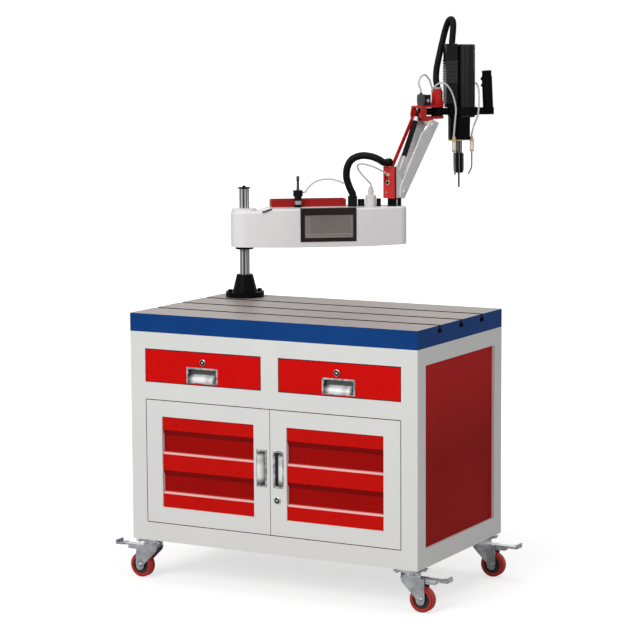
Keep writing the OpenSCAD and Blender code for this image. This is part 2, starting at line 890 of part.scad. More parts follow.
yaw_x = b1[0] + yaw_u;
pl0 = b1[1] + 17.5;
pl1 = b1[1] + 26;
pu0 = b1[1] + 56.5;
pu1 = b1[1] + 63;
top_cheek = [[-14, -4], [-6, -11], [4, -11.8], [11, -6], [12.5, 4], [12.5, 26], [-24, 26],
 [-24, 63], [-47, 63], [-54, 36], [-52, 24], [-46, 18]];
module end_bracket() {
 color(red)
  at_link() {
   for (s = [-1, 1])
    translate([b1[0], 0, b1[1]])
     plate_xz(top_cheek, s > 0 ? ch_in : -ch_out, s > 0 ? ch_out : -ch_in);
   box(b1[0] - 24, yaw_x, -22, 22, pl0, pl1);
   box(b1[0] - 47, yaw_x, -22, 22, pu0, pu1);
   for (z = [pl0, pu0])
    translate([yaw_x, 0, z])
     cylinder(r = 22, h = z == pl0 ? pl1 - pl0 : pu1 - pu0);
   translate([yaw_x, 0, pl0])
    cylinder(r = yaw_pin_r, h = pu1 - pl0);
   translate([yaw_x, 0, pu1])
    cylinder(r = 19, h = 44);
   translate([yaw_x, 0, pu1 + 44])
    cylinder(r1 = 19, r2 = 13.5, h = 12);
   rod_y(b1, pin_r, -link_w / 2 - 3, link_w / 2 + 3);
   for (s = [-1, 1])
    rod_y(b1, 9, s > 0 ? link_w / 2 + 0.5 : -link_w / 2 - 4, s > 0 ? link_w / 2 + 4 : -link_w / 2 - 0.5);
   rod_y(b1 + tie_off, 4, 9, ch_in + 1);
   rod_y(g1, 4, -ch_in - 1, 6);
  }
}

// oil metering block and its grey adjuster, on the bracket's top plate
module valve_box() {
 color(black)
  at_link() {
   box(yaw_x - 73, yaw_x - 49, -11, 11, pu1, pu1 + 36);
   translate([yaw_x - 88, 0, pu1])
    cylinder(r = 12.5, h = 38);
   translate([yaw_x - 88, 0, pu1 + 38])
    cylinder(r = 5, h = 5);
  }
}

// head: local X points from the yaw pin along the cross bar
bar_z = (pl1 + pu0) / 2;
wx = hx + yaw_x * cos(link_az);
wy = hy + yaw_x * sin(link_az);
module at_head() {
 translate([wx, wy, 0])
  rotate([0, 0, head_az])
   children();
}
mx = 99.7;
sx = 76;
gb0 = bar_z - 95.5;
module rod_x(z, r, x0, x1) {
 translate([x0, 0, z])
  rotate([0, 90, 0])
   cylinder(r = r, h = x1 - x0);
}

module knuckle() {
 color(black)
  at_head()
   difference() {
    union() {
     translate([0, 0, pl1 + 0.3])
      cylinder(r = 20, h = pu0 - pl1 - 0.6);
     rod_x(bar_z, bar_r, -62, 40);
     rod_x(bar_z, bar_r + 0.5, -67, -62);
    }
    translate([0, 0, pl1 - 1])
     cylinder(r = yaw_pin_r + fit, h = 60);
    rod_x(bar_z, 7 + fit, 20, 41);
   }
}

module head_clamp() {
 color(black)
  at_head()
   difference() {
    union() {
     rod_x(bar_z, 7, 20.5, 50);
     rod_x(bar_z, 20, 40.3, 49);
     box(48, 67, -18, 18, bar_z - 20.5, bar_z + 25.5);
     translate([mx, 0, bar_z - 14])
      cylinder(r = motor_r + 6.5, h = 28, $fn = 72);
    }
    translate([mx, 0, bar_z - 40])
     cylinder(r = motor_r, h = 200, $fn = 72);
   }
}

module drive_block() {
 z0 = bar_z + 25.5;
 color(black)
  at_head() {
   box(27, 66, -22, 22, z0, z0 + 201);
   for (i = [0:8])
    box(25, 66, -24, 24, z0 + 70 + i * 9, z0 + 74 + i * 9);
  }
}

module motor() {
 color(black)
  at_head()
   translate([mx, 0, bar_z - 20.5]) {
    cylinder(r = motor_r, h = motor_h - 26, $fn = 72);
    // groove, and the end cap over it
    translate([0, 0, motor_h - 26.5])
     cylinder(r = motor_r - 1.5, h = 3.5, $fn = 72);
    translate([0, 0, motor_h - 23.5])
     cylinder(r = motor_r, h = 20, $fn = 72);
    translate([0, 0, motor_h - 3.5])
     cylinder(r1 = motor_r, r2 = motor_r - 3.5, h = 3.5, $fn = 72);
   }
}

module gearbox() {
 color(black)
  at_head()
   difference() {
    union() {
     box(69, 110, -20, 20, gb0, bar_z - 20.5);
     box(42, 70, -14, 14, gb0, bar_z - 20.5);
    }
    translate([sx, 0, gb0 - 1])
     cylinder(r = spindle_r + fit, h = 28);
   }
}

module spindle() {
 color(steel)
  at_head()
   translate([sx, 0, gb0 - 45])
    cylinder(r = spindle_r, h = 71.5);
}

ck1 = gb0 - 45;
module chuck() {
 color(black)
  at_head()
   translate([sx, 0, ck1 - chuck_h])
    difference() {
     union() {
      cylinder(r1 = chuck_r - 3, r2 = chuck_r, h = 9);
      translate([0, 0, 9])
       cylinder(r = chuck_r, h = chuck_h - 13);
      translate([0, 0, chuck_h - 4])
       cylinder(r = chuck_r - 2, h = 4);
     }
     translate([0, 0, -1])
      cylinder(r = tap_r + fit, h = 13);
     // grip flutes
     for (a = [0:45:315])
      rotate([0, 0, a + 12])
       translate([chuck_r + 0.9, 0, 14])
        cylinder(r = 2.2, h = chuck_h - 34, $fn = 16);
     // groove under the collar
     translate([0, 0, chuck_h - 17])
      difference() {
       cylinder(r = chuck_r + 2, h = 2.4);
       translate([0, 0, -1])
        cylinder(r = chuck_r - 1.2, h = 5);
      }
    }
}

module tap() {
 color(steel)
  at_head()
   translate([sx, 0, ck1 - chuck_h - tap_len]) {
    cylinder(r1 = tap_r - 1, r2 = tap_r, h = 4);
    translate([0, 0, 4])
     cylinder(r = tap_r, h = tap_len + 8);
   }
}

// two coolant nozzles on a carrier plate under the gearbox
nl = [53, -23];
nr = [119, -8];
module nozzles() {
 color([0.78, 0.66, 0.42])
  at_head() {
   difference() {
    union() {
     box(44, 127, -18, 10, gb0 - 3.2, gb0 - 0.2);
     for (p = [nl, nr])
      translate([p[0], p[1], gb0 - 3.2])
       cylinder(r = 10, h = 3);
    }
    translate([sx, 0, gb0 - 9])
     cylinder(r = spindle_r + 2, h = 12);
   }
   for (p = [nl, nr])
    translate([p[0], p[1], gb0 - 40]) {
     cylinder(r = 7.5, h = 36.8);
     translate([0, 0, 39.8])
      cylinder(r = 6, h = 10);
    }
   sweep([[nl[0], nl[1], gb0 - 40], [nl[0], nl[1], gb0 - 70], [nl[0] + 1, nl[1], gb0 - 100],
          [nl[0] + 5, nl[1] + 2, gb0 - 118]], 2.8, 8);
   sweep([[nr[0], nr[1], gb0 - 40], [nr[0], nr[1], gb0 - 70], [nr[0], nr[1], gb0 - 92],
          [nr[0] - 5, nr[1] + 1, gb0 - 106], [nr[0] - 12, nr[1] + 3, gb0 - 116]], 2.8, 8);
  }
}

module handle() {
 color(black)
  at_head() {
   difference() {
    box(mx + motor_r, 196, -9, 9, bar_z - 12, bar_z + 12);
    translate([mx, 0, bar_z - 20])
     cylinder(r = motor_r + 6.5 + fit, h = 40, $fn = 72);
   }
   translate([178.4, 0, bar_z])
    rotate([0, -2.6, 0]) {
     cylinder(r = grip_r, h = 118);
     translate([0, 0, 118])
      cylinder(r = grip_r - 1.5, h = 18);
     for (z = [87, 109])
      translate([-grip_r + 3, 0, z])
       rotate([0, -90, 0])
        cylinder(r = 4.6, h = 6.5);
    }
  }
}

// upper hose from the yaw boss to the top of the drive block, thin tubes to the nozzles
up_hose = [[0, 0, 78], [0, 0, 86], [-2, 7, 106], [4, 24, 140], [16, 38, 182], [28, 39, 232], [38, 33, 277],
 [47, 20, 306], [54, 6, 308], [56, 0, 290], [54, 0, 258], [52, 0, 236], [52, 0, 226.8]];
loop_tube = [[-69.3, -54.2, 65.1], [-69.8, -54.2, 75], [-76, -50, 96], [-68, -42, 116],
 [-50, -30, 124], [-32, -18, 108], [-23, -11, 88], [-17.8, -8.6, 74]];
feed_l = [[-12, -10, 82], [2, -22, 95], [20, -30, 94], [38, -32, 73], [50, -31, 45], [58, -29, 9],
 [56, -26, -30], [53, -23, -74], [53, -23, -85.4]];
feed_r = [[119, -8, -85.4], [119, -9, -76], [123, -18, -50], [132, -38, -12], [136, -36, 25],
 [141, -20, 55], [141, -8, 80], [133.6, -4, 96]];
function on_head(p) = [for (q = p) [q[0], q[1], bar_z + q[2]]];

module conduit_upper() {
 color(black)
  at_head()
   sweep(hose_run(on_head(up_hose)), hose_r - 1, 10);
}

module oil_tube_upper() {
 color(white)
  at_head() {
   sweep(on_head(loop_tube), tube_r, 6);
   sweep(on_head(feed_l), tube_r, 6);
   sweep(on_head(feed_r), tube_r, 6);
  }
}

corner_posts();
front_rails();
side_rails();
panels();
inner_panels();
worktop();
column_base();
column();
column_collars();
caster_plates();
drawer_front(-1);  // left_drawer_front
drawer_tray(-1);  // left_drawer_tray
drawer_pull(-1);  // left_drawer_pull
drawer_front(1);  // right_drawer_front
drawer_tray(1);  // right_drawer_tray
drawer_pull(1);  // right_drawer_pull
door_frame(-1);  // left_door_frame
door_panel(-1);  // left_door_panel
door_pull(-1);  // left_door_pull
door_frame(1);  // right_door_frame
door_panel(1);  // right_door_panel
door_pull(1);  // right_door_pull
door_lock();
fork(-1, -1);  // fork_fl
wheel(-1, -1);  // wheel_fl
fork(1, -1);  // fork_fr
wheel(1, -1);  // wheel_fr
fork(-1, 1);  // fork_bl
wheel(-1, 1);  // wheel_bl
fork(1, 1);  // fork_br
wheel(1, 1);  // wheel_br
housing();
screen_bezel();
screen_glass();
parts_tray();
collet();
oil_bottle();
hose_fittings();
conduit_lower();
oil_tube_lower();
pivot_hub();
lower_bracket();
beam();
tie_rod();
gas_tube();
gas_rod();
end_bracket();
valve_box();
knuckle();
head_clamp();
drive_block();
motor();
gearbox();
handle();
nozzles();
conduit_upper();
oil_tube_upper();
spindle();
chuck();
tap();
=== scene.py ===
import math
import bpy
import bmesh
from mathutils import Matrix, Vector

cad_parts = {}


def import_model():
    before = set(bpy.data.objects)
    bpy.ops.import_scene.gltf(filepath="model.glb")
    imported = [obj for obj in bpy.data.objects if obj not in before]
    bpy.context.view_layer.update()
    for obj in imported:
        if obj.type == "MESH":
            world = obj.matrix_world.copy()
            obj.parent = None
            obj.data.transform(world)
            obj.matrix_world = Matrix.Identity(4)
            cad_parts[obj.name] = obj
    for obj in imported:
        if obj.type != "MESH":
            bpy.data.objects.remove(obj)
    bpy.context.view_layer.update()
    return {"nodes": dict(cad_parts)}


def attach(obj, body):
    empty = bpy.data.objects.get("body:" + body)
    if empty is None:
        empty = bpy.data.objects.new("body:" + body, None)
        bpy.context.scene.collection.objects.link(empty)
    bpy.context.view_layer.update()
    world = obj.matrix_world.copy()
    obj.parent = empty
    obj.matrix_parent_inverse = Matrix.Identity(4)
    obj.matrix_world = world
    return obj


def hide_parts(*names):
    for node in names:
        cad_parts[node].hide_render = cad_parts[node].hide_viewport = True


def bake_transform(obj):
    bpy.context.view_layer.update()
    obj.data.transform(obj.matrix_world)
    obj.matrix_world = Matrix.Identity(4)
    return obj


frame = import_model()
nodes = frame["nodes"]
scene = bpy.context.scene

X_AXIS = (1, 0, 0)
Y_AXIS = (0, 1, 0)
Z_AXIS = (0, 0, 1)
TO_FRONT = (0, -1, 0)
DOWN = (0, 0, -1)


# ---------------------------------------------------------------- camera
FOCAL_PX = 2324.056
PHOTO_PX = 625
SENSOR_MM = 36
CAM_AZIMUTH, CAM_PITCH, CAM_ROLL = 28.761, 7.106, -0.3446
CAM_PLACE = (3.46668, -6.34173, 1.74492)


def make_camera():
    az, pitch, roll = (math.radians(v) for v in (CAM_AZIMUTH, CAM_PITCH, CAM_ROLL))
    ahead = Vector((-math.sin(az) * math.cos(pitch), math.cos(az) * math.cos(pitch), -math.sin(pitch)))
    level = Vector((math.cos(az), math.sin(az), 0))
    upright = level.cross(ahead)
    right = level * math.cos(roll) + upright * math.sin(roll)
    up = upright * math.cos(roll) - level * math.sin(roll)
    cam = bpy.data.cameras.new("camera")
    cam.sensor_width = SENSOR_MM
    cam.lens = FOCAL_PX / PHOTO_PX * SENSOR_MM
    cam.clip_end = 100
    ob = bpy.data.objects.new("camera", cam)
    scene.collection.objects.link(ob)
    m = Matrix((right, up, -ahead)).transposed().to_4x4()
    m.translation = Vector(CAM_PLACE)
    ob.matrix_world = m
    scene.camera = ob


make_camera()
scene.view_settings.view_transform = "Standard"


# ---------------------------------------------------------------- places of the arm, link and head
# in mm and degrees, as in the CAD model; COLUMN_AXIS, HUB, YAW and SPINDLE are points in metres
COLUMN = (-395.0, 232.0)
ARM_AZ, LINK_AZ, HEAD_AZ = 36.3, 78.0, 40.0
ARM_LEN, ARM_TOP = 500.0, 1142.0
SCREEN_Y = 79.0
GLASS = (190.0, 350.0, 1046.5, 1121.0)
LINK_HALF = 27.5
BEAM_HALF = 27.2
# pins at the two ends of the beam: along the link, and up
LOW_PIN = (17.0, 1188.0)
HIGH_PIN = (168.0465, 1404.5201)
RISE = math.atan2(HIGH_PIN[1] - LOW_PIN[1], HIGH_PIN[0] - LOW_PIN[0])
# the head's yaw axis along the link, and the heights of its cross bar, boss and nozzle carrier
YAW_OUT = HIGH_PIN[0] + 63.0
BAR_Z = HIGH_PIN[1] + 41.25
BOSS_Z = HIGH_PIN[1] + 63.0
CARRIER_Z = BAR_Z - 95.5
SPINDLE_OUT = 76.0


def turned(ox, oy, deg):
    """Gives the function from a local frame in mm, turned round the vertical, to metres in the model."""
    c, s = math.cos(math.radians(deg)), math.sin(math.radians(deg))

    def to(p):
        x, y, z = p
        return Vector((ox + x * c - y * s, oy + x * s + y * c, z)) / 1000
    to.rot = Matrix.Rotation(math.radians(deg), 3, "Z")
    return to


def flat_dir(deg):
    return (math.cos(math.radians(deg)), math.sin(math.radians(deg)), 0.0)


on_arm = turned(*COLUMN, ARM_AZ)
COLUMN_AXIS = on_arm((0, 0, 0))
HUB = on_arm((ARM_LEN, 0, 0))
on_link = turned(*(HUB * 1000).xy, LINK_AZ)
YAW = on_link((YAW_OUT, 0, 0))
on_head = turned(*(YAW * 1000).xy, HEAD_AZ)
SPINDLE = on_head((SPINDLE_OUT, 0, 0))
on_bench = turned(0, 0, 0)


# ---------------------------------------------------------------- shader helpers
PEEL_SCALE, PEEL_DEPTH = 420, 0.0004
SHEEN_SCALE = 90


def new_mat(name):
    m = bpy.data.materials.new(name)
    m.use_nodes = True
    nt = m.node_tree
    return m, nt, nt.nodes["Principled BSDF"]


def coords(nt):
    return nt.nodes.new("ShaderNodeTexCoord").outputs["Object"]


def noise(nt, scale, detail, rough=0.55, stretch=None):
    n = nt.nodes.new("ShaderNodeTexNoise")
    n.inputs["Scale"].default_value = scale
    n.inputs["Detail"].default_value = detail
    n.inputs["Roughness"].default_value = rough
    where = coords(nt)
    if stretch:
        mp = nt.nodes.new("ShaderNodeMapping")
        mp.inputs["Scale"].default_value = stretch
        nt.links.new(where, mp.inputs["Vector"])
        where = mp.outputs["Vector"]
    nt.links.new(where, n.inputs["Vector"])
    return n.outputs["Fac"]


def ramp(nt, fac, stops):
    r = nt.nodes.new("ShaderNodeValToRGB")
    e = r.color_ramp.elements
    while len(e) < len(stops):
        e.new(0.5)
    for el, (pos, col) in zip(e, stops):
        el.position = pos
        el.color = (*col, 1)
    nt.links.new(fac, r.inputs["Fac"])
    return r.outputs["Color"]


def grey(stops):
    return [(at, (v, v, v)) for at, v in stops]


def remap(nt, value, lo, hi, to_lo=0.0, to_hi=1.0):
    r = nt.nodes.new("ShaderNodeMapRange")
    r.inputs["From Min"].default_value = lo
    r.inputs["From Max"].default_value = hi
    r.inputs["To Min"].default_value = to_lo
    r.inputs["To Max"].default_value = to_hi
    nt.links.new(value, r.inputs["Value"])
    return r.outputs["Result"]


def spread(nt, fac, lo, hi):
    """Noise, which lies between about 0.3 and 0.7, spread from lo to hi."""
    return remap(nt, fac, 0.3, 0.7, lo, hi)


def bump(nt, b, fac, strength, dist):
    n = nt.nodes.new("ShaderNodeBump")
    n.inputs["Strength"].default_value = strength
    n.inputs["Distance"].default_value = dist
    nt.links.new(fac, n.inputs["Height"])
    nt.links.new(n.outputs["Normal"], b.inputs["Normal"])


def vector_maths(nt, op, a, b, out):
    n = nt.nodes.new("ShaderNodeVectorMath")
    n.operation = op
    nt.links.new(a, n.inputs[0])
    n.inputs[1].default_value = b
    return n.outputs[out]


def along(nt, origin, direction):
    """How far a surface point lies from origin along direction, in the object's own space."""
    away = vector_maths(nt, "SUBTRACT", coords(nt), origin, "Vector")
    return vector_maths(nt, "DOT_PRODUCT", away, direction, "Value")


def facing(nt, direction):
    """How far the surface faces a direction, in the object's own space."""
    normal = nt.nodes.new("ShaderNodeTexCoord").outputs["Normal"]
    return vector_maths(nt, "DOT_PRODUCT", normal, direction, "Value")


def maths(nt, op, a, b=None):
    n = nt.nodes.new("ShaderNodeMath")
    n.operation = op
    for i, v in enumerate((a, b)):
        if v is None:
            continue
        if isinstance(v, (int, float)):
            n.inputs[i].default_value = v
        else:
            nt.links.new(v, n.inputs[i])
    return n.outputs[0]


def mixed(nt, fac, a, b):
    m = nt.nodes.new("ShaderNodeMix")
    m.data_type = "RGBA"
    nt.links.new(fac, m.inputs["Factor"])
    for key, v in (("A", a), ("B", b)):
        if isinstance(v, tuple):
            m.inputs[key].default_value = (*v, 1)
        else:
            nt.links.new(v, m.inputs[key])
    return m.outputs["Result"]


def shade(c, k):
    return tuple(min(1, v * k) for v in c)


def clouded(nt, fac, col, vary):
    return ramp(nt, fac, [(0.3, shade(col, 1 - vary)), (0.7, shade(col, 1 + vary))])


def speckled(nt, col, vary, scale):
    return clouded(nt, noise(nt, scale, 3), col, vary)


def finish(nt, b, colour, rough, spec, peel, metallic=0.0):
    """Sets the shader: colour, a roughness that wanders a little, and a fine orange peel."""
    nt.links.new(colour, b.inputs["Base Color"])
    nt.links.new(spread(nt, noise(nt, SHEEN_SCALE, 3), rough - 0.02, rough + 0.025), b.inputs["Roughness"])
    b.inputs["Specular IOR Level"].default_value = spec
    b.inputs["Metallic"].default_value = metallic
    bump(nt, b, noise(nt, PEEL_SCALE, 2), peel, PEEL_DEPTH)


def paint(name, col, rough, vary, peel, spec=0.3, scale=6):
    m, nt, b = new_mat(name)
    finish(nt, b, speckled(nt, col, vary, scale), rough, spec, peel)
    return m


def metal(name, col, rough, vary, grain, scale, stretch=None):
    m, nt, b = new_mat(name)
    b.inputs["Metallic"].default_value = 1
    f = noise(nt, scale, 5, 0.6, stretch)
    nt.links.new(clouded(nt, f, col, vary), b.inputs["Base Color"])
    nt.links.new(spread(nt, f, max(0.03, rough - 0.07), rough + 0.08), b.inputs["Roughness"])
    bump(nt, b, f, grain, 0.0003)
    return m


# ---------------------------------------------------------------- plain materials
WHITE = paint("white_powder_coat", (0.785, 0.785, 0.765), 0.40, vary=0.015, peel=0.10, spec=0.25)
# painted shade: a darker copy of the white powder coat for the panels inside the cabinet
WHITE_IN_SHADE = paint("white_inside_painted_shade", (0.62, 0.62, 0.61), 0.45, vary=0.02, peel=0.10, spec=0.2)
RED = paint("red_enamel", (0.68, 0.004, 0.003), 0.26, vary=0.03, peel=0.02, spec=0.06)
RED_CAST = paint("red_casting", (0.52, 0.010, 0.010), 0.36, vary=0.10, peel=0.30, spec=0.1, scale=25)
# painted shade: a darker copy of the red for the parts tray
TRAY_RED_SHADE = paint("tray_enamel_painted_shade", (0.36, 0.012, 0.012), 0.34, vary=0.10, peel=0.10, spec=0.1)
BLACK = paint("black_casting", (0.004, 0.004, 0.0045), 0.40, vary=0.25, peel=0.3, spec=0.035, scale=30)
BLACK_SATIN = paint("black_anodised", (0.005, 0.005, 0.0055), 0.22, vary=0.2, peel=0.05, spec=0.12, scale=18)
BLACK_PLASTIC = paint("black_plastic", (0.007, 0.0065, 0.007), 0.34, vary=0.15, peel=0.2, spec=0.08)
BEZEL = paint("bezel_plastic", (0.022, 0.015, 0.013), 0.30, vary=0.15, peel=0.1, spec=0.08)
RUBBER = paint("grip_rubber", (0.003, 0.003, 0.0035), 0.55, vary=0.2, peel=0.4, spec=0.04)
# black for painted shade: strips in the gaps, the ramp's sheet and the key slot
SHADE_BLACK = paint("black_painted_shade", (0.004, 0.004, 0.004), 0.6, vary=0.2, peel=0.2, spec=0.05)
LOCK_BLACK = paint("lock_rim", (0.007, 0.006, 0.006), 0.5, vary=0.2, peel=0.1, spec=0.06)
KEY_METAL = paint("key_plug", (0.72, 0.68, 0.64), 0.25, vary=0.06, peel=0.05, spec=0.4)
MOTOR_BLACK = paint("motor_anodised", (0.005, 0.005, 0.0055), 0.24, vary=0.1, peel=0.02, spec=0.22)
TAP_STEEL = paint("tap_steel", (0.13, 0.125, 0.12), 0.3, vary=0.15, peel=0.1, spec=0.4)
TAP_GREY = paint("tap_oxide", (0.05, 0.045, 0.045), 0.3, vary=0.2, peel=0.1, spec=0.3)
LINE = paint("screen_line", (0.40, 0.36, 0.34), 0.4, vary=0.1, peel=0.05, spec=0.2)
LAMP = paint("valve_light_glass", (0.45, 0.50, 0.85), 0.12, vary=0.05, peel=0.0, spec=0.5)
FITTING = paint("push_in_fitting", (0.62, 0.56, 0.55), 0.3, vary=0.06, peel=0.05, spec=0.3)
KNOB_GREY = (0.075, 0.078, 0.070)
KNOB = paint("adjuster_plastic", KNOB_GREY, 0.4, vary=0.15, peel=0.1, spec=0.15)
TUBE = paint("clear_white_tube", (0.62, 0.63, 0.64), 0.25, vary=0.05, peel=0.05)
HOSE = paint("hose_sleeve", (0.005, 0.005, 0.0055), 0.40, vary=0.25, peel=0.3, spec=0.08, scale=220)
BOTTLE = paint("bottle_plastic", (0.74, 0.72, 0.72), 0.35, vary=0.03, peel=0.1)
CHROME = metal("chrome", (0.66, 0.66, 0.68), 0.10, 0.03, 0.03, 30)
STEEL = metal("turned_steel", (0.50, 0.49, 0.49), 0.24, 0.12, 0.12, 20, stretch=(1, 1, 40))
ZINC = metal("zinc_plate", (0.56, 0.58, 0.61), 0.26, 0.30, 0.10, 28)
TRAY_ZINC = metal("tray_zinc", (0.50, 0.51, 0.53), 0.36, 0.08, 0.12, 45)
BRASS = metal("brass", (0.66, 0.50, 0.26), 0.26, 0.08, 0.1, 60)
SILVER = metal("brushed_aluminium", (0.62, 0.61, 0.61), 0.36, 0.06, 0.12, 90)


# ---------------------------------------------------------------- materials that change over a part
def plate_material():
    """Ground top face, blue painted sides, and painted shade, nearly black, inside the slots."""
    top_z, side_x, side_y = 0.8492, 0.4985, 0.2985
    m, nt, b = new_mat("worktop_iron")
    x, y, z = (along(nt, (0, 0, 0), axis) for axis in (X_AXIS, Y_AXIS, Z_AXIS))
    on_top = maths(nt, "MULTIPLY", maths(nt, "GREATER_THAN", z, top_z),
                   maths(nt, "GREATER_THAN", facing(nt, Z_AXIS), 0.6))
    grain = noise(nt, 40, 6, 0.6, (1.0, 14.0, 1.0))
    ground = ramp(nt, grain, [(0.3, (0.35, 0.305, 0.285)), (0.7, (0.44, 0.395, 0.375))])
    blue = ramp(nt, noise(nt, 8, 3), [(0.3, (0.003, 0.046, 0.205)), (0.7, (0.005, 0.058, 0.245))])
    outer = maths(nt, "MAXIMUM", maths(nt, "GREATER_THAN", maths(nt, "ABSOLUTE", x), side_x),
                  maths(nt, "GREATER_THAN", maths(nt, "ABSOLUTE", y), side_y))
    # painted shade: the slots' inner faces are nearly black
    side = mixed(nt, outer, speckled(nt, (0.030, 0.022, 0.020), 0.3, 40), blue)
    nt.links.new(mixed(nt, on_top, side, ground), b.inputs["Base Color"])
    nt.links.new(maths(nt, "MULTIPLY", on_top, 0.25), b.inputs["Metallic"])
    nt.links.new(spread(nt, grain, 0.36, 0.46), b.inputs["Roughness"])
    b.inputs["Specular IOR Level"].default_value = 0.08
    bump(nt, b, grain, 0.12, 0.0003)
    return m


def wheel_material(axle_x):
    """Red tread round a dark hub, told apart by the distance from the axle."""
    axle_z, wheel_r = 0.039, 0.04
    m, nt, b = new_mat("caster_wheel")
    flat = vector_maths(nt, "MULTIPLY", coords(nt), (1, 0, 1), "Vector")
    out = vector_maths(nt, "DISTANCE", flat, (axle_x, 0, axle_z), "Value")
    c = ramp(nt, remap(nt, out, 0.0, wheel_r), [(0.0, (0.02, 0.02, 0.02)), (0.66, (0.012, 0.012, 0.012)),
                                                (0.70, (0.44, 0.020, 0.012)), (1.0, (0.50, 0.026, 0.016))])
    nt.links.new(c, b.inputs["Base Color"])
    nt.links.new(spread(nt, noise(nt, 120, 3), 0.45, 0.6), b.inputs["Roughness"])
    bump(nt, b, noise(nt, 300, 3), 0.3, 0.0004)
    return m


def glass_material():
    m, nt, b = new_mat("screen_glass")
    c = ramp(nt, noise(nt, 5, 2), [(0.3, (0.185, 0.160, 0.150)), (0.7, (0.225, 0.198, 0.186))])
    nt.links.new(c, b.inputs["Base Color"])
    nt.links.new(spread(nt, noise(nt, 60, 2), 0.10, 0.16), b.inputs["Roughness"])
    b.inputs["Specular IOR Level"].default_value = 0.25
    return m


def door_sheet_material():
    """Painted shade and painted highlight: a darker red than the drawers', darker still in the channels and
    on faces that look down, and a pale painted highlight on the ledges that face up.
    """
    band_y, ledge_y = -0.2940, -0.2890
    m, nt, b = new_mat("red_door_sheet")
    deep = remap(nt, along(nt, (0, band_y, 0), Y_AXIS), 0.0, 0.006)
    # painted shade: the sheet's red is darker than the drawers', and darker still deeper in the channels
    base = mixed(nt, deep, speckled(nt, (0.60, 0.005, 0.003), 0.03, 4),
                 speckled(nt, (0.36, 0.003, 0.002), 0.05, 4))
    # painted highlight: pale on the ledges that face up
    pale = speckled(nt, (0.92, 0.55, 0.53), 0.08, 2.5)
    upward = remap(nt, facing(nt, (0, -0.35, 0.94)), 0.55, 0.85)
    outward = remap(nt, along(nt, (0, ledge_y, 0), TO_FRONT), 0.0, 0.0030)
    # painted shade: dark on the faces that look down
    downward = remap(nt, facing(nt, (0, -0.35, -0.94)), 0.35, 0.75)
    c = mixed(nt, downward, base, (0.24, 0.002, 0.0015))
    finish(nt, b, mixed(nt, maths(nt, "MULTIPLY", upward, outward), c, pale), 0.28, 0.06, 0.05)
    return m


def painted_reflection_material(name, centre, count, stops, rough, metallic, spec=0.4):
    """Painted reflections: strips of light and dark that run along a turned part."""
    m, nt, b = new_mat(name)
    x, y = (along(nt, centre, axis) for axis in (X_AXIS, Y_AXIS))
    turn = maths(nt, "MULTIPLY", maths(nt, "ARCTAN2", y, x), count / (2 * math.pi))
    tones = [(at, (v, v, v * 1.02)) for at, v in stops]
    finish(nt, b, ramp(nt, maths(nt, "FRACT", turn), tones), rough, spec, 0.02, metallic)
    return m


def beam_material():
    """Two-tone paint, white inside the channel and on its edges, grey on the walls; the white is also
    painted light, standing in for light on the inside faces, which lie in shade.
    """
    m, nt, b = new_mat("beam_enamel")
    off = maths(nt, "ABSOLUTE", along(nt, HUB, flat_dir(LINK_AZ + 90)))
    outside = maths(nt, "GREATER_THAN", off, BEAM_HALF / 1000)
    # two-tone paint, partly painted light: white inside, grey outside
    c = mixed(nt, outside, speckled(nt, (0.93, 0.93, 0.94), 0.02, 30),
              speckled(nt, (0.76, 0.75, 0.75), 0.02, 30))
    finish(nt, b, c, 0.30, 0.2, 0.05)
    return m


def bracket_material(name, tone, origin, direction, edge):
    """Red casting, a dark band as wide as edge that is painted shade on the plate's side, then bare grey
    cheeks and pins.
    """
    m, nt, b = new_mat(name)
    d = along(nt, origin, direction)
    bare = speckled(nt, (0.74, 0.73, 0.74), 0.05, 30)
    # painted shade: the dark red band
    red_and_shade = mixed(nt, maths(nt, "GREATER_THAN", d, 0.0), speckled(nt, tone, 0.12, 25), (0.085, 0.004, 0.006))
    finish(nt, b, mixed(nt, maths(nt, "GREATER_THAN", d, edge), red_and_shade, bare), 0.32, 0.14, 0.15)
    return m


def pull_material():
    """Bright plate with a dark pocket; the pocket's dark is painted shade."""
    pocket_y = -0.2985
    m, nt, b = new_mat("pull_chrome")
    # painted shade: darker deeper in the pocket
    deep = remap(nt, along(nt, (0, pocket_y, 0), Y_AXIS), 0.0, 0.004)
    rim = ramp(nt, noise(nt, 60, 2), [(0.34, (0.16, 0.16, 0.16)), (0.5, (0.50, 0.50, 0.51)),
                                      (0.66, (0.80, 0.80, 0.81))])
    finish(nt, b, mixed(nt, deep, rim, (0.10, 0.10, 0.10)), 0.2, 0.5, 0.02, 0.5)
    return m


def lip_painted_reflection_material(name, origin, direction, span):
    """Polished lip with painted light: a painted reflection bright across its middle, painted shade dark at
    its two ends and its fold.
    """
    m, nt, b = new_mat(name)
    t = remap(nt, along(nt, origin, direction), 0.0, span)
    c = ramp(nt, t, grey([(0.0, 0.06), (0.10, 0.30), (0.20, 0.88), (0.55, 0.97), (0.72, 0.62), (0.86, 0.86),
                          (0.95, 0.20), (1.0, 0.05)]))
    finish(nt, b, c, 0.18, 0.5, 0.02, 0.2)
    return m


def side_sheet_material():
    """Painted light and shade: a darker red than the drawers', and the upper half of the side sheets is
    paler.
    """
    foot_z, per_metre = 0.19, 1.55
    m, nt, b = new_mat("red_side_sheet")
    up = along(nt, (0, 0, foot_z), (0, 0, per_metre))
    cloud = maths(nt, "MULTIPLY", noise(nt, 3, 2), 0.15)
    # painted light and shade: paler towards the top, darker towards the foot
    c = ramp(nt, maths(nt, "ADD", up, cloud), [(0.0, (0.36, 0.001, 0.001)), (0.45, (0.34, 0.002, 0.002)),
                                               (0.95, (0.56, 0.016, 0.015))])
    finish(nt, b, c, 0.34, 0.04, 0.05)
    return m


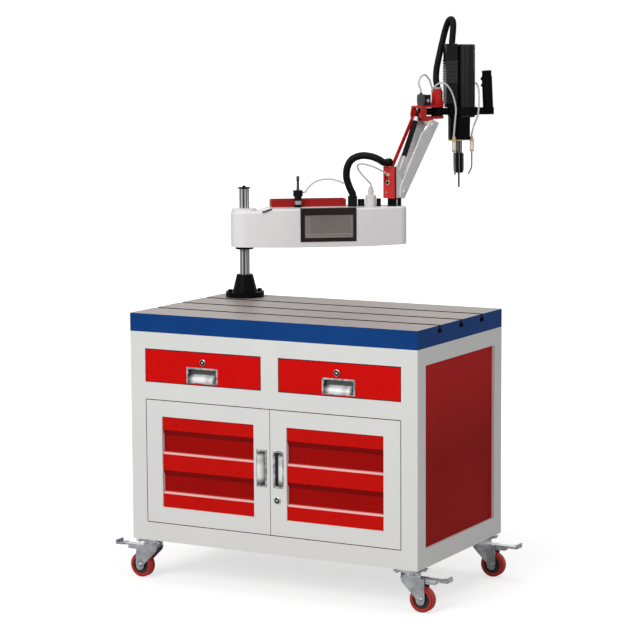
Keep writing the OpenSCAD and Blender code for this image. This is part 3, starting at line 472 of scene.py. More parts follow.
def block_material():
    """Painted highlights: a light line on the edge of each cooling fin."""
    fins_z, fins_high, pitch, edge = 1.5413, 0.0765, 0.0045, 0.0012
    m, nt, b = new_mat("finned_block")
    z = along(nt, (0, 0, fins_z), Z_AXIS)
    band = maths(nt, "MULTIPLY", remap(nt, z, 0.0, 0.001), maths(nt, "LESS_THAN", z, fins_high))
    fin_highlight = maths(nt, "LESS_THAN", maths(nt, "MODULO", z, pitch), edge)
    c = mixed(nt, maths(nt, "MULTIPLY", band, fin_highlight), speckled(nt, (0.005, 0.005, 0.0055), 0.2, 18),
              (0.095, 0.095, 0.097))
    finish(nt, b, c, 0.26, 0.12, 0.05)
    return m


def nozzle_material():
    """Brass collars and carrier, pale sleeves, grey pipes."""
    m, nt, b = new_mat("nozzle_metal")
    drop = remap(nt, along(nt, (0, 0, CARRIER_Z / 1000), DOWN), 0.0, 0.05)
    c = ramp(nt, drop, [(0.0, (0.66, 0.50, 0.27)), (0.07, (0.62, 0.47, 0.25)), (0.08, (0.40, 0.34, 0.28)),
                        (0.12, (0.80, 0.74, 0.68)), (0.60, (0.84, 0.79, 0.74)), (0.70, (0.66, 0.62, 0.58)),
                        (0.78, (0.25, 0.24, 0.23)), (0.82, (0.26, 0.26, 0.25)), (1.0, (0.20, 0.20, 0.20))])
    finish(nt, b, c, 0.26, 0.5, 0.03, 0.25)
    return m


def shell_material():
    """Painted light and shade: a little whiter on the round cover over the column and at the far end, darker
    in a band between.
    """
    m, nt, b = new_mat("housing_paint")
    out = along(nt, COLUMN_AXIS, flat_dir(ARM_AZ))
    # painted light and shade along the arm
    c = ramp(nt, remap(nt, out, -0.03, 0.55), [(0.0, (0.93, 0.92, 0.93)), (0.06, (0.88, 0.865, 0.875)),
                                               (0.24, (0.84, 0.825, 0.835)), (0.32, (0.80, 0.79, 0.80)),
                                               (0.80, (0.86, 0.845, 0.86)), (1.0, (0.93, 0.92, 0.94))])
    finish(nt, b, c, 0.26, 0.3, 0.015)
    return m


def valve_material():
    """Grey adjuster beside the black block."""
    m, nt, b = new_mat("oil_block_plastic")
    out = along(nt, HUB, flat_dir(LINK_AZ))
    knob = maths(nt, "LESS_THAN", out, (YAW_OUT - 74) / 1000)
    c = mixed(nt, knob, speckled(nt, (0.008, 0.007, 0.009), 0.2, 30), speckled(nt, KNOB_GREY, 0.15, 40))
    finish(nt, b, c, 0.36, 0.12, 0.15)
    return m


SHELL = shell_material()
LOWER_BRACKET = bracket_material("lower_bracket_metal", (0.66, 0.040, 0.034), on_link((-25.5, 0, 0)),
                                 flat_dir(LINK_AZ), 0.0075)
END_BRACKET = bracket_material("end_bracket_metal", (0.56, 0.022, 0.020), (0, 0, (HIGH_PIN[1] + 12) / 1000),
                               DOWN, 0.0)
# painted reflections on the chrome column
COLUMN_PAINTED_REFLECTIONS = painted_reflection_material("column_painted_reflections", COLUMN_AXIS, 5, [
    (0.0, 0.02), (0.16, 0.05), (0.24, 0.40), (0.46, 0.62), (0.52, 0.02), (0.62, 0.03), (0.68, 0.80),
    (0.86, 0.50), (1.0, 0.02)], 0.22, 0.35)
# painted highlights: light strips on the black chuck
CHUCK_PAINTED_HIGHLIGHTS = painted_reflection_material("chuck_painted_highlights", SPINDLE, 8, [
    (0.0, 0.004), (0.55, 0.006), (0.66, 0.30), (0.74, 0.22), (0.80, 0.006), (1.0, 0.004)], 0.32, 0.0, 0.06)
# painted reflections on the steel spindle
SPINDLE_PAINTED_REFLECTIONS = painted_reflection_material("spindle_painted_reflections", SPINDLE, 7, [
    (0.0, 0.05), (0.30, 0.20), (0.45, 0.60), (0.60, 0.10), (0.80, 0.03), (1.0, 0.05)], 0.24, 0.4)


# ---------------------------------------------------------------- finish of the CAD nodes
def give(names, mat):
    for n in names.split():
        ob = nodes[n]
        if not ob.material_slots:
            ob.data.materials.append(mat)
        for s in ob.material_slots:
            s.material = mat


give("corner_posts front_rails side_rails left_door_frame right_door_frame", WHITE)
give("inner_panels", WHITE_IN_SHADE)
give("panels", side_sheet_material())
give("left_drawer_front right_drawer_front", RED)
give("parts_tray", TRAY_RED_SHADE)
give("left_door_panel right_door_panel", door_sheet_material())
give("worktop", plate_material())
give("left_drawer_tray right_drawer_tray", TRAY_ZINC)
give("caster_plates fork_fl fork_fr fork_bl fork_br", ZINC)
give("left_drawer_pull right_drawer_pull left_door_pull right_door_pull", pull_material())
give("door_lock gas_rod", CHROME)
give("column", COLUMN_PAINTED_REFLECTIONS)
give("chuck", CHUCK_PAINTED_HIGHLIGHTS)
give("spindle", SPINDLE_PAINTED_REFLECTIONS)
give("column_base column_collars knuckle head_clamp pivot_hub gearbox", BLACK)
give("gas_tube", BLACK_SATIN)
give("motor", MOTOR_BLACK)
give("drive_block", block_material())
give("screen_bezel", BEZEL)
give("hose_fittings collet", BLACK_PLASTIC)
give("handle", RUBBER)
give("housing", SHELL)
give("screen_glass", glass_material())
give("oil_bottle", BOTTLE)
give("tie_rod", RED_CAST)
give("lower_bracket", LOWER_BRACKET)
give("end_bracket", END_BRACKET)
give("beam", beam_material())
give("valve_box", valve_material())
give("nozzles", nozzle_material())
give("tap", TAP_STEEL)
give("conduit_lower conduit_upper", HOSE)
give("oil_tube_lower oil_tube_upper", TUBE)
for corner, axle in (("fl", -0.495), ("fr", 0.495), ("bl", -0.495), ("br", 0.495)):
    give("wheel_" + corner, wheel_material(axle))


def soften(names, width, angle=40):
    for n in names.split():
        mod = nodes[n].modifiers.new("soft_edges", "BEVEL")
        mod.width = width
        mod.segments = 2
        mod.limit_method = "ANGLE"
        mod.angle_limit = math.radians(angle)
        mod.harden_normals = False


soften("corner_posts front_rails side_rails", 0.0015)
soften("left_door_frame right_door_frame left_drawer_front right_drawer_front", 0.0012)
soften("worktop", 0.0010)
soften("left_door_panel right_door_panel", 0.0008, 20)


# ---------------------------------------------------------------- mesh helpers
def make(name, verts, faces, mat, body, smooth=30, replaces=None):
    me = bpy.data.meshes.new(name)
    me.from_pydata([tuple(v) for v in verts], [], faces)
    bm = bmesh.new()
    bm.from_mesh(me)
    bmesh.ops.recalc_face_normals(bm, faces=bm.faces)
    bm.to_mesh(me)
    bm.free()
    me.materials.append(mat)
    ob = bpy.data.objects.new(name, me)
    scene.collection.objects.link(ob)
    if smooth:
        for f in me.polygons:
            f.use_smooth = True
        me.set_sharp_from_angle(angle=math.radians(smooth))
    if replaces:
        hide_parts(*replaces.split())
    if body:
        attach(ob, body)
    return ob


def bevelled(ob, width):
    """Rounds the edges of a block by a width in mm."""
    mod = ob.modifiers.new("edges", "BEVEL")
    mod.width = width / 1000
    mod.segments = 2
    return ob


def basis(axis):
    """Two directions across an axis, and the axis, all of length 1."""
    a = Vector(axis).normalized()
    g = Vector(Z_AXIS) if abs(a.z) < 0.9 else Vector(X_AXIS)
    u = g.cross(a).normalized()
    return u, a.cross(u), a


def wall(rows, n, closed=False):
    """Faces between rows of n points each; closed joins the last row to the first."""
    faces = []
    for i in range(rows if closed else rows - 1):
        j = (i + 1) % rows
        for k in range(n):
            b = (k + 1) % n
            faces.append((i * n + k, i * n + b, j * n + b, j * n + k))
    return faces


def ends(rows, n):
    return [tuple(range(n)), tuple((rows - 1) * n + k for k in range(n))]


def lathe(name, to, origin, axis, profile, mat, body, n=48, wave=None, ring=False):
    """Turns (radius, height) pairs round an axis; a ring has a hole; wave changes the radius."""
    o = to(origin)
    u, v, a = basis(to.rot @ Vector(axis))
    verts = []
    for r, h in profile:
        for k in range(n):
            t = 2 * math.pi * k / n
            q = r + (wave(t, h) if wave else 0)
            verts.append(o + (u * math.cos(t) + v * math.sin(t)) * q / 1000 + a * h / 1000)
    m = len(profile)
    faces = wall(m, n, closed=ring)
    if not ring:
        faces += ends(m, n)
    return make(name, verts, faces, mat, body)


def screw(name, to, origin, axis, r, h, mat, body, n=24):
    """A socket head: round outside, six-sided recess."""
    o = to(origin)
    u, v, a = basis(to.rot @ Vector(axis))

    def hexagon(t):
        return 0.5 * r / math.cos((t % (math.pi / 3)) - math.pi / 6)

    def circle(k):
        return lambda t: r * k
    verts = []
    for radius, z in ((circle(1), 0), (circle(1), h - 0.12 * r), (circle(0.9), h), (hexagon, h),
                      (hexagon, h * 0.45)):
        for k in range(n):
            t = 2 * math.pi * k / n
            verts.append(o + (u * math.cos(t) + v * math.sin(t)) * radius(t) / 1000 + a * z / 1000)
    first, last = ends(5, n)
    return make(name, verts, [first, *wall(5, n), last], mat, body, smooth=40)


def boxes(name, to, items, mat, body, edge=0.15):
    """Several small blocks in one mesh; each is (x0, x1, y0, y1, z0, z1)."""
    sides = ((0, 3, 2, 1), (4, 5, 6, 7), (0, 1, 5, 4), (1, 2, 6, 5), (2, 3, 7, 6), (3, 0, 4, 7))
    verts, faces = [], []
    for x0, x1, y0, y1, z0, z1 in items:
        o = len(verts)
        verts += [to((x, y, z)) for z in (z0, z1) for x, y in ((x0, y0), (x1, y0), (x1, y1), (x0, y1))]
        faces += [tuple(o + k for k in f) for f in sides]
    return bevelled(make(name, verts, faces, mat, body, smooth=0), edge)


def curve_points(pts, k):
    """A smooth curve through the points, with k steps from each to the next."""
    out = []
    for i in range(len(pts) - 1):
        a, b = pts[max(i - 1, 0)], pts[i]
        c, d = pts[i + 1], pts[min(i + 2, len(pts) - 1)]
        for j in range(k):
            t = j / k
            out.append(0.5 * (2 * b + (c - a) * t + (2 * a - 5 * b + 4 * c - d) * t * t
                              + (3 * b - a - 3 * c + d) * t ** 3))
    out.append(pts[-1])
    return out


def rounded(path, step, times, keep=8):
    """The path in equal steps, with its tight turns opened a little and its two ends kept."""
    out, left = [path[0]], step
    for a, b in zip(path, path[1:]):
        run = (b - a).length
        while left <= run:
            out.append(a.lerp(b, left / run))
            left += step
        left -= run
    out.append(path[-1])
    for _ in range(times):
        out = out[:keep] + [(out[i - 1] + 2 * out[i] + out[i + 1]) / 4
                            for i in range(keep, len(out) - keep)] + out[-keep:]
    return out


def tube(name, path, r, mat, body, replaces, rib=None, n=20):
    """A round tube along a path in metres; rib is (pitch, depth) in mm."""
    verts = []
    side = None
    run = 0.0
    for i, p in enumerate(path):
        if i:
            run += (p - path[i - 1]).length
        t = (path[min(i + 1, len(path) - 1)] - path[max(i - 1, 0)]).normalized()
        if side is None:
            side = Vector(Z_AXIS) if abs(t.z) < 0.8 else Vector(X_AXIS)
        side = (side - t * side.dot(t)).normalized()
        up = t.cross(side)
        q = r
        if rib:
            q = r - rib[1] * (0.5 + 0.5 * math.cos(2 * math.pi * run * 1000 / rib[0]))
        for k in range(n):
            w = 2 * math.pi * k / n
            verts.append(p + (side * math.cos(w) + up * math.sin(w)) * q / 1000)
    m = len(path)
    return make(name, verts, wall(m, n) + ends(m, n), mat, body, smooth=50, replaces=replaces), run


def strip(name, to, outline, thick, lo, hi, place, mat, body, steps=5):
    """A bent sheet: outline is its profile (depth, across), place puts (depth, across, along) in space."""
    pts = curve_points([Vector((a, b, 0)) for a, b in outline], steps)
    inner = []
    for i, q in enumerate(pts):
        t = (pts[min(i + 1, len(pts) - 1)] - pts[max(i - 1, 0)]).normalized()
        inner.append(q + Vector((-t.y, t.x, 0)) * thick)
    loop = pts + inner[::-1]
    n = len(loop)
    verts = [to(place(q.x, q.y, e)) for e in (lo, hi) for q in loop]
    faces = wall(2, n)
    for base in (0, n):
        faces += [(base + i, base + i + 1, base + n - 2 - i, base + n - 1 - i) for i in range(len(pts) - 1)]
    return make(name, verts, faces, mat, body, smooth=40)


# ---------------------------------------------------------------- housing with rounded top edges
def edge_weight(edge):
    """How much of the rounding an edge of the housing gets; places in metres."""
    round_cover, column_hole, hub_hole = 0.0415, 0.0175, 0.02
    cover_rim_z, top_z, foot_z = 1.1325, 1.125, 1.02
    turn = edge.link_faces[0].normal.angle(edge.link_faces[1].normal)
    mid = (edge.verts[0].co + edge.verts[1].co) / 2
    from_column = math.hypot(mid.x - COLUMN_AXIS.x, mid.y - COLUMN_AXIS.y)
    from_hub = math.hypot(mid.x - HUB.x, mid.y - HUB.y)
    if turn < math.radians(50) or from_column < column_hole or from_hub < hub_hole:
        return 0.0
    if from_column < round_cover and mid.z > cover_rim_z:
        return 0.2
    if mid.z > top_z:
        return 1.0
    return 0.3 if mid.z < foot_z else 0.0


def housing_shell():
    bm = bmesh.new()
    bm.from_mesh(nodes["housing"].data)
    bmesh.ops.remove_doubles(bm, verts=bm.verts, dist=1e-5)
    bmesh.ops.dissolve_limit(bm, angle_limit=math.radians(1), verts=bm.verts, edges=bm.edges)
    layer = bm.edges.layers.float.new("bevel_weight_edge")
    for e in bm.edges:
        if len(e.link_faces) == 2:
            e[layer] = edge_weight(e)
    me = bpy.data.meshes.new("housing_shell")
    bm.to_mesh(me)
    bm.free()
    me.materials.clear()
    me.materials.append(SHELL)
    ob = bpy.data.objects.new("housing_shell", me)
    scene.collection.objects.link(ob)
    mod = ob.modifiers.new("rounding", "BEVEL")
    mod.width = 0.009
    mod.segments = 5
    mod.limit_method = "WEIGHT"
    mod.use_clamp_overlap = True
    for f in me.polygons:
        f.use_smooth = True
    me.set_sharp_from_angle(angle=math.radians(35))
    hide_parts("housing")
    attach(ob, "arm")


housing_shell()


# ---------------------------------------------------------------- hoses and thin tubes
# points in mm: on the arm from the hub and the arm's top, on the head from its yaw axis and cross bar
LOW_HOSE = [(-140, 0, 34.2), (-140, 0, 42), (-151, 0, 66), (-160, 0, 98), (-157, -3, 131),
            (-142, -9, 156), (-114, -20, 168), (-84, -32, 166), (-60, -40, 157), (-46, -39, 148),
            (-37, -33, 145), (-27.4, -24.4, 145)]
ARC_TUBE = [(-304.9, -2, 48), (-297, -1, 51), (-281, 5, 70), (-255, 8, 86), (-220, 8, 91),
            (-191, 6, 86), (-167.6, 3, 75.5)]
BOTTLE_TUBE = [(-79, 0, 64.4), (-79.5, 0, 73), (-90, -2, 85), (-108, -5, 104), (-122, -9, 123),
               (-124, -16, 137), (-108, -27, 141), (-74, -33, 131), (-42, -31, 115), (-24.2, -21.4, 104)]
UP_HOSE = [(0, 0, 78), (0, 0, 86), (-2, 7, 106), (4, 24, 140), (16, 38, 182), (28, 39, 232),
           (38, 33, 277), (47, 20, 306), (54, 6, 308), (56, 0, 290), (54, 0, 258), (52, 0, 236),
           (52, 0, 226.8)]
LOOP_TUBE = [(-69.3, -54.2, 65.1), (-69.8, -54.2, 75), (-76, -50, 96), (-68, -42, 116),
             (-50, -30, 124), (-32, -18, 108), (-23, -11, 88), (-17.8, -8.6, 74)]
FEED_LEFT = [(-12, -10, 82), (2, -22, 95), (20, -30, 94), (38, -32, 73), (50, -31, 45), (58, -29, 9),
             (56, -26, -30), (53, -23, -74), (53, -23, -85.4)]
FEED_RIGHT = [(119, -8, -85.4), (119, -9, -76), (123, -18, -50), (132, -38, -12), (136, -36, 25),
              (141, -20, 55), (141, -8, 80), (133.6, -4, 96)]
HOSE_STEPS, TUBE_STEPS = 24, 8
HOSE_RIB = (3.2, 0.35)
LOW_HOSE_R, UP_HOSE_R, TUBE_R = 12, 11, 3


def arm_path(pts, k):
    return curve_points([on_arm((ARM_LEN + x, y, ARM_TOP + z)) for x, y, z in pts], k)


def head_path(pts, k):
    return curve_points([on_head((x, y, BAR_Z + z)) for x, y, z in pts], k)


def declare(path):
    tuple(path[0])
    [tuple(p) for p in path]


def fixed_tube(name, path, body, replaces):
    """A thin tube with both ends on one body."""
    ob, length = tube(name, path, TUBE_R, TUBE, body, replaces)
    declare(path)


def bending(name, path, r, mat, replaces, rib=None):
    """A hose or tube along its path, on no body, with its place baked into its points."""
    ob, length = tube(name, path, r, mat, None, replaces, rib)
    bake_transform(ob)
    declare(path)


def hoses():
    p = arm_path(LOW_HOSE, HOSE_STEPS)
    bending("lower_hose", p, LOW_HOSE_R, HOSE,
            "conduit_lower", HOSE_RIB)
    p = head_path(UP_HOSE, HOSE_STEPS)
    bending("upper_hose", rounded(p, 0.0012, 60), UP_HOSE_R, HOSE,
            "conduit_upper", HOSE_RIB)
    fixed_tube("arc_tube", arm_path(ARC_TUBE, TUBE_STEPS), "arm", "oil_tube_lower")
    p = arm_path(BOTTLE_TUBE, TUBE_STEPS)
    bending("bottle_tube", p, TUBE_R, TUBE, "oil_tube_lower")
    fixed_tube("loop_tube", head_path(LOOP_TUBE, TUBE_STEPS), "link_head", "oil_tube_upper")
    p = head_path(FEED_LEFT, TUBE_STEPS)
    bending("feed_tube_left", p, TUBE_R, TUBE, "oil_tube_upper")
    fixed_tube("feed_tube_right", head_path(FEED_RIGHT, TUBE_STEPS), "head", "oil_tube_upper")


hoses()


# ---------------------------------------------------------------- small parts of the bench
FRONT = -300.0
# the front's opening: heights of the rails' edges, its half width, and the post between the drawers
DOORS_LOW, DOORS_HIGH, DRAWERS_LOW, DRAWERS_HIGH = 190.0, 582.0, 636.0, 741.0
OPENING = 446.0
POST_HALF = 30.0
GAP = 2.5
DOOR_SPLIT = 1.3
PULL_HALF = 25
PULL_Z = DRAWERS_LOW + 31
DRAWER_X = (POST_HALF + GAP + OPENING - GAP) / 2
DOOR_PULL_X, DOOR_PULL_Z = 29.25, 397.61
LOCK_Z = DOOR_PULL_Z - 57.5 - 37.6
SIDES = ((-1, "left"), (1, "right"))
# how far a painted shade strip stands out of its wall, and how deep it is set into it
SHADE_OUT, SHADE_IN = 0.8, 0.05


def shade_strips():
    """Black strips of painted shade in the gaps round the drawers and doors, on the bench and on the moving
    fronts.
    """
    y0, y1 = FRONT + 0.5, FRONT + 18
    high, low = DOORS_HIGH, DOORS_LOW
    items = [(-OPENING, OPENING, y0, y1, high - SHADE_OUT, high + SHADE_IN),
             (-OPENING, OPENING, y0, y1, low - SHADE_IN, low + SHADE_OUT)]
    for s, _ in SIDES:
        a, b = sorted((s * POST_HALF, s * OPENING))
        items += [(a, b, y0, y1, DRAWERS_HIGH - SHADE_OUT, DRAWERS_HIGH + SHADE_IN),
                  (a, b, y0, y1, DRAWERS_LOW - SHADE_IN, DRAWERS_LOW + SHADE_OUT)]
        for x, inward in ((a, 1), (b, -1)):
            c, d = sorted((x - SHADE_IN * inward, x + SHADE_OUT * inward))
            items.append((c, d, y0, y1, DRAWERS_LOW, DRAWERS_HIGH))
        c, d = sorted((s * OPENING, s * (OPENING - 0.6)))
        items.append((c, d, FRONT + 2.6, y1, low, high))
    boxes("gap_shade_strips", on_bench, items, SHADE_BLACK, "bench")
    for s, side in SIDES:
        top = DRAWERS_HIGH - GAP
        a, b = sorted((s * (POST_HALF + GAP), s * (OPENING - GAP)))
        boxes(side + "_drawer_edge_shade", on_bench, [(a, b, y0, y1 - 3, top - SHADE_IN, top + 0.4)], SHADE_BLACK,
              side + "_drawer")
        top = DOORS_HIGH - GAP
        a, b = sorted((s * DOOR_SPLIT, s * (OPENING - GAP)))
        boxes(side + "_door_edge_shade", on_bench, [(a, b, y0, FRONT + 12, top - SHADE_IN, top + 0.4)], SHADE_BLACK,
              side + "_door")
        # painted shade: a thin black rod in the gap at each door's hinge side
        lathe(side + "_door_gap_shade", on_bench, (s * (OPENING - 1.5), FRONT + 1.1, low + GAP), Z_AXIS,
              [(1.16, 0), (1.16, high - low - 2 * GAP)], SHADE_BLACK, side + "_door", n=16)


def lock(name, x, z, body):
    """Bright rim, dark face, key plug and key slot, in front of the lock's barrel."""
    barrel = FRONT - 6.05
    lathe(name + "_rim", on_bench, (x, FRONT - 2.6, z), TO_FRONT,
          [(8.6, 0), (10.2, 0), (10.2, 2.4), (9.7, 3.3), (9.0, 3.6), (8.6, 3.5)], CHROME, body, ring=True)
    lathe(name + "_face", on_bench, (x, barrel, z), TO_FRONT,
          [(3.6, 0), (8.9, 0), (8.6, 0.6), (7.4, 1.0), (4.2, 0.9), (3.6, 0.5)], LOCK_BLACK, body, ring=True)
    lathe(name + "_plug", on_bench, (x, barrel, z), TO_FRONT,
          [(3.4, 0), (3.4, 0.6), (2.9, 1.1), (0.4, 1.2)], KEY_METAL, body)
    boxes(name + "_slot", on_bench, [(x - 0.5, x + 0.5, FRONT - 7.4, FRONT - 7.1, z - 2.2, z + 2.2)], SHADE_BLACK,
          body, 0.05)


def pulls():
    """Polished lips with painted reflections in the recessed pulls, and the locks."""
    thick = 0.9
    drawer_lip = [(-2.2, -22.0), (-4.6, -18.5), (-5.2, -14.0), (-3.6, -9.0), (0.5, -4.5), (6.0, -0.5),
                  (11.0, 2.0)]
    door_lip = [(-2.2, -15.0), (-4.6, -12.0), (-5.2, -8.6), (-3.4, -4.5), (0.5, -0.5), (6.0, 3.0),
                (11.0, 5.0)]
    for s, side in SIDES:
        x = s * DRAWER_X
        mat = lip_painted_reflection_material(side + "_drawer_lip_painted_reflection", ((x - 48) / 1000, 0, 0), X_AXIS, 0.096)
        strip(side + "_drawer_lip", on_bench, drawer_lip, thick, x - 49, x + 49,
              lambda d, a, e: (e, FRONT + d, PULL_Z + a), mat, side + "_drawer")
        lock(side + "_drawer_lock", x - 4 * s, PULL_Z + PULL_HALF + 17, side + "_drawer")
        x = s * DOOR_PULL_X
        mat = lip_painted_reflection_material(side + "_door_lip_painted_reflection", (0, 0, (DOOR_PULL_Z - 50) / 1000), Z_AXIS, 0.100)
        strip(side + "_door_lip", on_bench, door_lip, thick, DOOR_PULL_Z - 51, DOOR_PULL_Z + 51,
              lambda d, a, e, s=s, x=x: (x - s * a, FRONT + d, e), mat, side + "_door")
    lock("door_lock", DOOR_PULL_X - 3, LOCK_Z, "right_door")


shade_strips()
pulls()


# ---------------------------------------------------------------- small parts of the arm
def screen_lines():
    """Thin frame lines of the picture on the glass."""
    x0, x1, z0, z1 = GLASS
    y0, y1 = -SCREEN_Y - 1.75, -SCREEN_Y - 1.4
    half = 0.8
    items = [(x - half, x + half, y0, y1, z0 + 5, z1 - 4) for x in (x0 + 5, x0 + 14)]
    items += [(x0 + 5, x1 - 5, y0, y1, z - half, z + half) for z in (z0 + 4, z0 + 12)]
    items.append((x1 - 5.5, x1 - 4.5, y0, y1, z0 + 5, z1 - 4))
    boxes("screen_lines", on_arm, items, LINE, "arm", 0.05)


def ramp_shade_sheet():
    """Painted shadow: a dark sheet on the ramp beside the round cover."""
    foot_z = ARM_TOP - 9
    outline = [(52, -1.2), (84.5, 8.9), (84.5, 10.3), (52, 0.2)]
    verts = [on_arm((x, y, foot_z + z)) for y in (-69, -50) for x, z in outline]
    make("ramp_shade_sheet", verts, ends(2, 4) + wall(2, 4), SHADE_BLACK, "arm", smooth=0)


def spare_holder():
    """Clamping ring of the spare tap holder, and its tap."""
    x = ARM_LEN - 322
    lathe("collet_band", on_arm, (x, -2, ARM_TOP), Z_AXIS,
          [(11.0, 10), (12.9, 10), (12.9, 22), (11.0, 22)], STEEL, "arm", ring=True)
    lathe("collet_tap", on_arm, (x, -2, ARM_TOP + 56), Z_AXIS,
          [(6.5, 0), (5.0, 3), (4.2, 14), (3.9, 31), (5.0, 34), (5.2, 44), (4.2, 47)], TAP_GREY, "arm")


def bottle_trim():
    """Ring round the oil bottle's shoulder, and its ribbed cap."""
    x = ARM_LEN - 79
    lathe("bottle_ring", on_arm, (x, 0, ARM_TOP), Z_AXIS,
          [(17.0, 29), (18.6, 30), (18.6, 33), (17.0, 34)], BOTTLE, "arm", ring=True)
    lathe("bottle_cap", on_arm, (x, 0, ARM_TOP), Z_AXIS,
          [(7.0, 43), (9.4, 43), (9.4, 54), (8.0, 56), (7.0, 56)], BOTTLE, "arm", ring=True,
          wave=lambda t, h: 0.25 * math.cos(20 * t) if 43 < h < 56 else 0)


# ---------------------------------------------------------------- small parts of the link
def tie_bar():
    """Flat bar round the tie rod; its outline is (along the link, across it) from the rod's lower pin."""
    c, s = math.cos(RISE), math.sin(RISE)
    pin_x, pin_z = LOW_PIN[0] - 36, LOW_PIN[1] + 42
    outline = [(18, -7.0), (26, -9.0), (238, -9.0), (246, -7.0), (246, 4.4), (18, 4.4)]
    sides = (11.6, 16.4)
    verts = [on_link((pin_x + a * c + b * s, y, pin_z + a * s - b * c)) for y in sides for a, b in outline]
    n = len(outline)
    bevelled(make("tie_bar", verts, ends(2, n) + wall(2, n), RED_CAST, "tie", smooth=0), 0.8)


def hub_highlight_rods():
    """Two bright steel rods beside the hub, a painted highlight on the black hub."""
    out = 21.6
    for i, deg in enumerate((-118, -56)):
        x, y, _ = flat_dir(deg)
        lathe("hub_pin_%d" % i, on_link, (out * x, out * y, ARM_TOP + 1.5), Z_AXIS,
              [(1.6, 0), (2.4, 0.8), (2.4, 21.2), (1.6, 22)], STEEL, "link_base", n=20)


def rear_plate():
    """Two bolts, a washer and the tube's fitting on the lower bracket's rear plate."""
    x, foot_z, back = -30, ARM_TOP + 26, (-1, 0, 0)
    screw("rear_bolt", on_link, (x, 4, foot_z + 52), back, 5.0, 3.2, BLACK_SATIN, "link_base")
    lathe("rear_washer", on_link, (x, 4, foot_z + 52), back,
          [(4.5, 0), (8.0, 0), (8.0, 1.0), (4.5, 1.2)], SILVER, "link_base", ring=True)
    screw("rear_bolt_low", on_link, (x, 8, foot_z + 20), back, 3.4, 2.2, STEEL, "link_base")
    lathe("tube_fitting", on_link, (x, 0, foot_z + 78), back,
          [(5.5, 0), (5.5, 3.5), (4.6, 4.0), (4.6, 6.0), (3.6, 6.8)], FITTING, "link_base", n=32)


def pivot_heads():
    """Round heads of the beam's pins, with a socket."""
    for tag, (x, z), body in (("low", LOW_PIN, "link_base"), ("high", HIGH_PIN, "link_head")):
        for s, side in ((-1, "right"), (1, "left")):
            screw("pivot_%s_%s" % (tag, side), on_link, (x, s * (LINK_HALF + 3.9), z), (0, s, 0), 5.6, 2.0,
                  SILVER, body)


def oil_block():
    """Lights of the oil block, and its adjuster's ribs."""
    lathe("valve_light", on_link, (YAW_OUT - 64, -11, BOSS_Z + 16), TO_FRONT,
          [(6.2, 0), (6.2, 1.2), (4.8, 2.4), (1.5, 3.0)], LAMP, "link_head", n=32)
    lathe("valve_light_back", on_link, (YAW_OUT - 73, -3, BOSS_Z + 20), (-1, 0, 0),
          [(4.0, 0), (4.0, 1.0), (2.0, 1.8)], LAMP, "link_head", n=32)
    lathe("adjuster_ribs", on_link, (YAW_OUT - 88, 0, BOSS_Z), Z_AXIS,
          [(11.5, 7), (13.2, 8), (13.2, 32), (11.5, 33)], KNOB, "link_head", n=96, ring=True,
          wave=lambda t, h: 0.35 * math.cos(24 * t))


def boss():
    """Bell and ring on the end bracket's boss."""
    lathe("boss_bell", on_link, (YAW_OUT, 0, BOSS_Z), Z_AXIS,
          [(18.5, 0.3), (22.0, 0.3), (22.0, 6), (20.2, 10), (19.4, 18), (18.5, 18)], RED_CAST, "link_head",
          ring=True)
    lathe("boss_ring", on_link, (YAW_OUT, 0, BOSS_Z), Z_AXIS,
          [(12.6, 54), (15.2, 54.5), (15.2, 59.5), (12.6, 60)], FITTING, "link_head", ring=True)


def gas_sleeve():
    """Bright sleeve on the gas spring's upper end."""
    low = Vector((LOW_PIN[0] - 13, 0, LOW_PIN[1] + 27))
    high = Vector((HIGH_PIN[0] - 43, 0, HIGH_PIN[1] + 35))
    lathe("gas_sleeve", on_link, high, low - high,
          [(4.0, 9), (6.5, 9), (9.3, 12.5), (9.3, 26), (8.0, 26)], SILVER, "gas_upper", ring=True)


def boss_fitting():
    """Push-in fitting on the boss."""
    lathe("boss_fitting", on_link, (YAW_OUT - 13, 9, BOSS_Z + 40), Z_AXIS,
          [(5.2, 0), (5.2, 9), (4.2, 10), (4.2, 15), (3.4, 16)], FITTING, "link_head", n=32)


# ---------------------------------------------------------------- small parts of the head
def head_blocks():
    """Foot under the drive block, and the ear on the nozzles' carrier."""
    boxes("block_foot", on_head, [(28, 48.2, -14, 14, BAR_Z + 13.2, BAR_Z + 25.7)], BLACK, "head", 1.5)
    boxes("carrier_ear", on_head, [(33, 47, -30, -15, CARRIER_Z - 3.0, CARRIER_Z - 0.4)], BRASS, "head", 0.4)


for detail in (screen_lines, ramp_shade_sheet, spare_holder, bottle_trim, tie_bar, hub_highlight_rods, rear_plate,
               pivot_heads, oil_block, boss, gas_sleeve, boss_fitting, head_blocks):
    detail()


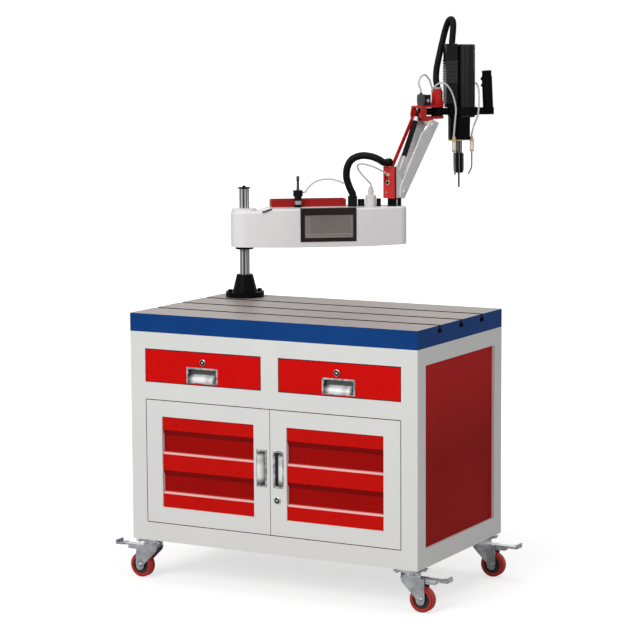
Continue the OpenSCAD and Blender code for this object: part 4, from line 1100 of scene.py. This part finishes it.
# ---------------------------------------------------------------- stage and light
def floor():
    bpy.ops.mesh.primitive_plane_add(size=60, location=(0, 0, 0))
    ob = bpy.context.object
    ob.name = "floor"
    m, nt, b = new_mat("floor")
    b.inputs["Roughness"].default_value = 0.9
    b.inputs["Specular IOR Level"].default_value = 0.1
    nt.links.new(ramp(nt, noise(nt, 2, 2), grey([(0.3, 0.58), (0.7, 0.60)])), b.inputs["Base Color"])
    glow = nt.nodes.new("ShaderNodeEmission")
    glow.inputs["Color"].default_value = (1, 1, 1, 1)
    # whiter with the distance from the object, so that its shadow stays
    far = nt.nodes.new("ShaderNodeMapRange")
    far.interpolation_type = "SMOOTHSTEP"
    far.inputs["From Min"].default_value = 0.5
    far.inputs["From Max"].default_value = 2.2
    far.inputs["To Min"].default_value = 0.62
    far.inputs["To Max"].default_value = 1.0
    away = nt.nodes.new("ShaderNodeVectorMath")
    away.operation = "LENGTH"
    nt.links.new(coords(nt), away.inputs[0])
    nt.links.new(away.outputs["Value"], far.inputs["Value"])
    seen = nt.nodes.new("ShaderNodeLightPath").outputs["Is Camera Ray"]
    nt.links.new(maths(nt, "MULTIPLY", seen, far.outputs["Result"]), glow.inputs["Strength"])
    both = nt.nodes.new("ShaderNodeAddShader")
    nt.links.new(b.outputs[0], both.inputs[0])
    nt.links.new(glow.outputs[0], both.inputs[1])
    nt.links.new(both.outputs[0], nt.nodes["Material Output"].inputs["Surface"])
    ob.data.materials.append(m)


def world(level):
    """White to the camera and in metal and glass, and light of the given level on everything else."""
    w = bpy.data.worlds.new("studio")
    scene.world = w
    w.use_nodes = True
    nt = w.node_tree
    rays = nt.nodes.new("ShaderNodeLightPath").outputs
    seen = maths(nt, "MAXIMUM", maths(nt, "MAXIMUM", rays["Is Camera Ray"], rays["Is Transmission Ray"]),
                 rays["Is Glossy Ray"])
    bg = nt.nodes["Background"]
    bg.inputs["Color"].default_value = (1, 1, 1, 1)
    nt.links.new(remap(nt, seen, 0.0, 1.0, level, 1.0), bg.inputs["Strength"])


def lamp(name, place, target, side, power):
    light = bpy.data.lights.new(name, "AREA")
    light.shape = "RECTANGLE"
    light.size = side
    light.size_y = side
    light.energy = power
    ob = bpy.data.objects.new(name, light)
    scene.collection.objects.link(ob)
    ob.location = place
    ob.rotation_euler = (Vector(target) - Vector(place)).to_track_quat("-Z", "Y").to_euler()


floor()
world(0.34)
lamp("key", (-0.9, -5.4, 3.6), (0, 0, 0.9), 3.0, 180)
lamp("fill", (3.8, -3.2, 2.6), (0, 0.2, 1.1), 2.4, 28)
lamp("top", (0.4, 0.6, 4.6), (0, 0.2, 0.8), 3.0, 45)
